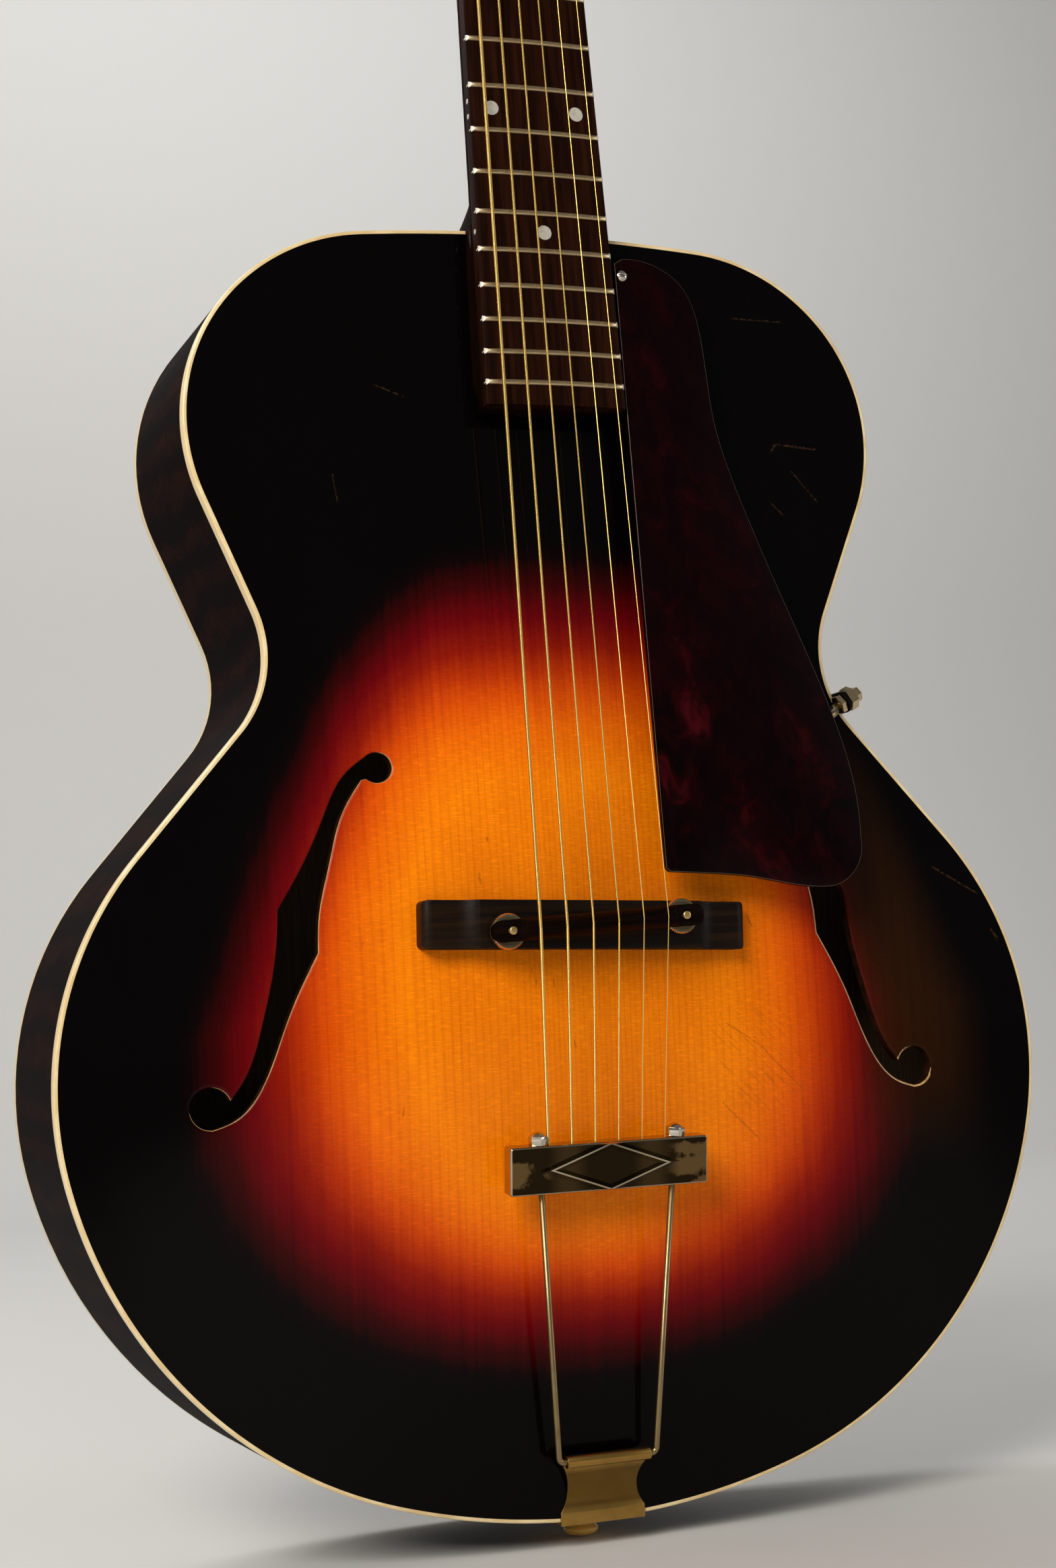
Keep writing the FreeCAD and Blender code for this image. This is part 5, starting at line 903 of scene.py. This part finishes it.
def wheel_form(side):
    """Knurled wheel with chamfered rims and a bore, and which of its faces take a painted highlight: the
    knurl and the chamfers beside it.
    """
    ridges, deep, top = 44, 0.38, WHEEL_THICK
    count = ridges * 4
    section = ((2.05, 0.0, 0), (5.6, 0.0, 0), (6.5, 0.15, 0), (6.68, 0.45, 0), (6.95, 0.75, deep),
               (6.95, top - 0.75, deep), (6.68, top - 0.45, 0), (6.5, top - 0.15, 0), (5.6, top, 0),
               (5.2, top - 0.12, 0), (3.2, top - 0.12, 0), (2.8, top, 0), (2.05, top, 0))
    groove = 0.5 - 0.5 * np.cos(TAU * np.arange(count) / count * ridges)
    place = stud_axis(side, WHEEL_LOW)
    rings = [ring_at(place, height, radius - cut * groove) for radius, height, cut in section]
    # The knurl and its chamfers take a bright metal, a painted highlight; the flat faces keep the darker
    # wheel metal.
    knurled = [int(2 <= row <= 6) for row in range(len(rings)) for _ in range(count)]
    return *skin(rings, True), knurled


def stud_form(side):
    """Threaded brass stud with a domed top."""
    sides, pitch, tall = 20, 0.8, 17.5
    place = stud_axis(side, STUD_LOW)
    thread = []
    for height in np.arange(0.0, tall - 0.9, 0.2):
        wave = np.abs((height / pitch - np.arange(sides) / sides) % 1.0 - 0.5) * 2
        thread.append(ring_at(place, height, 1.38 + 0.36 * (1 - wave)))
    dome = [(1.62, tall - 0.75), (1.6, tall - 0.35), (1.45, tall - 0.14), (1.1, tall - 0.03), (0.3, tall)]
    return skin(thread + rings_at(place, dome, sides))


def make_bridge():
    dressed("bridge_base", BASE_WOOD, edge=0.9, sharp=38.0, rounds=3)
    dressed("saddle", SADDLE_WOOD, edge=0.4, sharp=38.0)
    piece("threaded_studs", joined(stud_form(-1), stud_form(1)), [BRASS], "bridge_studs")
    for side, wheel in ((-1, "wheel_bass"), (1, "wheel_treble")):
        piece("knurled_" + wheel, wheel_form(side), [WHEEL_METAL, KNURL_HIGHLIGHT], wheel, 30.0)


# The run of the strings


def string_height(x, number, distance):
    rise = ACTION_NUT + ACTION_TWELFTH * 2 * distance / SCALE
    return board_top(x) - FRET_HEIGHT - rise - STRING_RADII[number - 1]


def string_share(number):
    """A string's place across the set, from 0.5 at the treble to -0.5 at the bass."""
    return 0.5 - (number - 1) / 5.0


def string_points(number):
    """Saddle, nut and post points of a string."""
    x = NUT_SPAN * string_share(number)
    nut = NECK @ Vector((x, string_height(x, number, 0.0), NUT_Z + 1.0))
    x = BRIDGE_SPAN * string_share(number)
    z = BRIDGE_Z + x * math.tan(math.radians(SADDLE_TURN))
    drop = (JOIN_Z - z) / math.cos(math.radians(NECK_ANGLE))
    crest = Vector((x, (NECK @ Vector((x, string_height(x, number, NUT_Z + drop), -drop))).y, z))
    side, post_x, post_z = TUNERS[number]
    reach = POST_RADIUS + STRING_RADII[number - 1] + 0.25
    return crest, nut, HEAD @ Vector((post_x - side * reach, WRAP_LEVEL, post_z))


PULL = (string_points(3)[0] + string_points(4)[0]) * 0.5
HINGE = Vector((0, FRONT - HINGE_OUT, HINGE_Z))
TAIL = shift(*HINGE) @ Matrix.Rotation(math.atan2(HINGE.y - PULL.y, PULL.z - HINGE.z), 4, "X")


# The tailpiece and strap button


def plate_corners(inset):
    """Edge of the tail plate drawn in by an inset, corners slightly round."""
    half, low, high = TAIL_HALF - inset, TAIL_LOW + inset, TAIL_HIGH - inset
    r = max(1.0 - inset, 0.2)
    loop = []
    for x, z, start in ((half - r, low + r, -90), (half - r, high - r, 0),
                        (r - half, high - r, 90), (r - half, low + r, 180)):
        angles = [math.radians(start + t) for t in range(0, 91, 18)]
        loop += [(x + r * math.cos(t), z + r * math.sin(t)) for t in angles]
    return loop


def tail_plate_form():
    """Pressed channel with rounded edges, open behind, with a ridged diamond; marks the faces that take a
    painted highlight.
    """
    deep, wall, ease, round_edge = 3.5, 1.3, 0.15, 0.6
    reach, rise, band, crest, tall = 23.6, 8.6, 1.7, 0.3, 1.1
    middle = 0.5 * (TAIL_LOW + TAIL_HIGH)
    slope = math.hypot(1 / reach, 1 / rise)
    loops = [plate_corners(inset) for inset in (0.0, 0.18, round_edge)]
    for step in (band, crest, -crest, -band):
        wide, high = reach * (1 + step * slope), rise * (1 + step * slope)
        loops.append([(wide, middle), (0.0, middle + high), (-wide, middle), (0.0, middle - high)])
    plan, faces = meshed(loops)
    faces = [tuple(int(k) for k in face) for face in faces[inside(loops[0], plan[faces].mean(axis=1))]]
    off = (np.abs(plan[:, 0]) / reach + np.abs(plan[:, 1] - middle) / rise - 1) / slope
    ridge = np.where(off > 0, np.clip(1 - off / band, 0, 1), np.clip(1 + 0.7 * off / band, 0.3, 1))
    edge = away(loops[0], plan)
    inward = np.clip(edge / round_edge, 0, 1)
    lift = tall * ridge * inward - round_edge * (1 - inward) ** 2
    front = ([TAIL @ Vector((x, -deep - y, z)) for (x, z), y in zip(plan, lift)], faces)
    # Ridge crests, the faces at the rim and the walls take a brighter nickel, a painted highlight.
    marks = [int(max(abs(off[k]) for k in face) < crest + 0.01 or min(edge[k] for k in face) < 0.3)
             for face in faces]
    section = ((0.0, round_edge - deep), (0.0, deep - ease), (ease, deep), (wall - ease, deep),
               (wall, deep - ease), (wall, wall - deep))
    points, walls = skin([[TAIL @ Vector((x, y, z)) for x, z in plate_corners(inset)]
                          for inset, y in section])
    walls = walls[:-2] + walls[-1:]
    points, faces = joined(front, (points, walls))
    return points, faces, marks + [1] * len(walls)


def make_tailpiece():
    piece("ridged_tail_plate", tail_plate_form(), [PLATE_NICKEL_REFLECTIONS, NICKEL_HIGHLIGHT], "tail_plate", 18.0)
    dressed("trapeze_rod", ROD_METAL)
    dressed("tail_cap_nuts", NICKEL, edge=0.3, sharp=30.0)
    dressed("tail_bracket", AGED_SHADED, edge=0.2, sharp=24.0)
    dressed("bracket_screws", AGED_SHADED)
    profile = [(0.4, 18.0), (2.5, 18.0), (3.1, 16.0), (3.1, -1.6), (5.3, -1.62), (5.0, -2.2),
               (4.3, -3.1), (4.2, -3.9), (4.5, -4.8), (5.6, -5.7), (6.5, -6.3), (6.8, -6.9),
               (6.75, -7.5), (6.3, -8.3), (5.2, -9.0), (3.6, -9.4), (1.8, -9.57), (0.3, -9.6)]
    button = turned(profile, Matrix.Identity(4), 56)
    piece("turned_strap_button", button, [BUTTON_CREAM], "strap_button")


# The pickguard


def stay_place():
    """Where the guard's rod crosses the rim: X outwards, Y to the back."""
    slope = half_width(STAY_Z + 0.5) - half_width(STAY_Z - 0.5)
    return shift(half_width(STAY_Z), FRONT, STAY_Z) @ Matrix.Rotation(math.atan(slope), 4, "Y")


def stay_form():
    """The guard's rod, from its nuts on the rim up to the flat run under the guard."""
    place = stay_place()
    foot = place @ Vector((-15, 0, 0))
    level = -NECK_RISE - (JOIN_Z - foot.z) * math.tan(math.radians(NECK_ANGLE)) + STAY_RADIUS + 0.15
    bend = smooth_line([(8.85, STAY_RISE), (1.0, STAY_RISE), (-3.0, STAY_RISE - 0.5),
                        (-8.5, 0.5 * (level + STAY_RISE)), (-14.0, level + 0.6), (-18.0, level),
                        (-26.0, level)])
    return tube([place @ Vector((x, y, 0)) for x, y in bend], STAY_RADIUS, 14)


def hex_nut(low, high, flats, turn, ease=0.35):
    """A six-sided nut with eased ends on the guard's rod."""
    place = stay_place()
    rings = []
    for along, share in ((low, 0.86), (low + ease, 1.0), (high - ease, 1.0), (high, 0.86)):
        radius = flats / math.sqrt(3) * share
        rings.append([place @ Vector((along, STAY_RISE + radius * math.cos(t), radius * math.sin(t)))
                      for t in (turn + TAU * k / 6 for k in range(6))])
    return skin(rings)


def make_guard():
    # The guard's eased edge takes a lighter finish, a painted highlight.
    dressed("pickguard", TORTOISE, edge=0.5, sharp=40.0, edge_finish=GUARD_EDGE_HIGHLIGHT)
    dressed("pickguard_screw", NICKEL)
    piece("bent_stay", stay_form(), [ROD_METAL], "pickguard_stay")
    dressed("pickguard_clamp", CLAMP_METAL, edge=0.2, sharp=40.0)
    nuts = hex_nut(-2.35, 0.25, 7.2, 0.0), hex_nut(1.95, 6.1, 8.6, 0.35), hex_nut(6.2, 8.9, 5.8, 0.1, 0.5)
    piece("rim_nuts", joined(*nuts), [NUT_METAL], "pickguard_nuts", 30.0)


# The strings


def wrap_path(number, radius):
    """The string's turns down its post, after a short lead from the nut."""
    side, post_x, post_z = TUNERS[number]
    reach, turns, steps = POST_RADIUS - 0.3 + radius, 3.25, 20
    coil = []
    for k in range(int(turns * steps) + 1):
        t = TAU * k / steps
        depth = min(WRAP_LEVEL + 2.15 * radius * k / steps * 0.9, -2.2)
        spot = Vector((post_x - side * reach * math.cos(t), depth, post_z + reach * math.sin(t)))
        coil.append(HEAD @ spot)
    return [coil[0] + (coil[0] - coil[1]).normalized() * 1.2] + coil


def make_strings():
    finishes = {"strings_plain": [PLAIN], "strings_wound": [WOUND]}
    front = {node: [] for node in finishes}
    rear = {node: [] for node in finishes}
    balls = []
    bead = [(0.8, -1.3), (1.6, -1.3), (1.9, -0.9), (1.5, -0.3), (1.5, 0.3), (1.9, 0.9), (1.6, 1.3),
            (0.8, 1.3)]
    for number, radius in enumerate(STRING_RADII, 1):
        node = "strings_plain" if number < 3 else "strings_wound"
        crest, nut, post = string_points(number)
        ball = TAIL @ Vector((TAIL_SPAN * string_share(number), 0, BALL_Z))
        past = crest + (crest - nut).normalized() * 0.4
        run = [past] + [crest.lerp(nut, k / 60.0) for k in range(60)]
        run += [nut.lerp(post, 0.004)] + [nut.lerp(post, k / 10.0) for k in range(1, 11)]
        front[node].append(tube(run, radius))
        over = crest + (crest - ball).normalized() * 0.3
        rear[node].append(tube([ball.lerp(over, k / 12.0) for k in range(13)], radius))
        balls.append(turned(bead, shift(*ball) @ aimed(crest - ball), 24))
        wrap = tube(wrap_path(number, radius), radius, 8)
        piece("string_wrap_%d" % number, wrap, finishes[node], body="post_%d" % number, slot=SLOTS[node])
    for node, finish in finishes.items():
        kind = node.replace("strings_", "")
        obj = piece("front_runs_" + kind, joined(*front[node]), finish, slot=SLOTS[node])
        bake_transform(obj)
        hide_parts(node)
        piece("rear_runs_" + kind, joined(*rear[node]), finish, node, body="tailpiece")
    piece("ball_ends", joined(*balls), [BRASS], body="tailpiece", slot="brass")


make_body()
make_neck()
make_bridge()
make_tailpiece()
make_guard()
make_strings()


# Floor, light and camera


def studio_paper():
    f, x, y, z = started("studio_paper", Roughness=0.9)
    tooth = f.noise(x * 0.02, y * 0.02, z * 0.02, 4.0)
    f.link("Base Color", f.mix(tooth * 0.2, (0.72, 0.71, 0.69), (0.67, 0.66, 0.64)))
    return f.material


def make_stage():
    """Paper that lies on the floor and curves up behind the guitar."""
    level, back, radius, reach, top = -10.2, 3000.0, 900.0, 40000.0, 12000.0
    line = [(-reach, level), (back - radius, level)]
    line += [(back - radius + radius * math.sin(t), level + radius - radius * math.cos(t))
             for t in (math.pi / 2 * k / 16 for k in range(1, 17))]
    line.append((back, top))
    points = [(x, y, z) for y, z in line for x in (-reach, reach)]
    faces = [(2 * k, 2 * k + 1, 2 * k + 3, 2 * k + 2) for k in range(len(line) - 1)]
    piece("studio_cove", (points, faces), [studio_paper()])


def soft_box(name, place, aim, size, watts, tint=(1.0, 1.0, 1.0)):
    lamp = bpy.data.lights.new(name, "AREA")
    lamp.shape = "RECTANGLE"
    lamp.size, lamp.size_y = size
    lamp.energy = watts
    lamp.color = tint
    obj = added(name, lamp)
    obj.visible_camera = False
    obj.matrix_world = shift(*place) @ aimed(Vector(aim) - Vector(place), "-Z")


def make_light():
    soft_box("key", (-1.35, -1.45, 1.35), (0, 0, 0.25), (1.0, 1.0), 42.0, (1.0, 0.96, 0.90))
    soft_box("fill", (2.0, -0.9, 0.7), (0, 0, 0.3), (0.8, 1.2), 7.0)
    soft_box("rim", (-0.9, 0.9, 1.7), (0, 0, 0.4), (0.8, 0.8), 14.0)
    soft_box("wall_wash", (0.6, 1.6, 2.4), (0.9, 3.0, 0.7), (2.4, 0.6), 24.0)
    world = bpy.data.worlds.new("studio")
    world.use_nodes = True
    glow = world.node_tree.nodes["Background"].inputs
    glow["Color"].default_value = (1.0, 0.99, 0.97, 1.0)
    glow["Strength"].default_value = 0.17
    bpy.context.scene.world = world


def make_camera():
    """Seen from the bass side at bridge height, as in the photograph."""
    sensor, focal_pixels, tall_pixels = 36.0, 3779.03, 2329.0
    lens = bpy.data.cameras.new("camera")
    lens.sensor_width = sensor
    lens.lens = sensor * focal_pixels / tall_pixels
    place = Vector((-360.82, -950.28, 184.84)) * MM
    right = Vector((0.937, -0.34506, -0.05438))
    up = Vector((0.01677, -0.11106, 0.99367))
    back = Vector((-0.34892, -0.93199, -0.09828))
    turn = Matrix((right, up, back)).transposed().to_4x4()
    obj = added("camera", lens)
    obj.matrix_world = shift(*place) @ turn
    bpy.context.scene.camera = obj


make_stage()
make_light()
make_camera()
bpy.context.scene.view_settings.view_transform = "Standard"
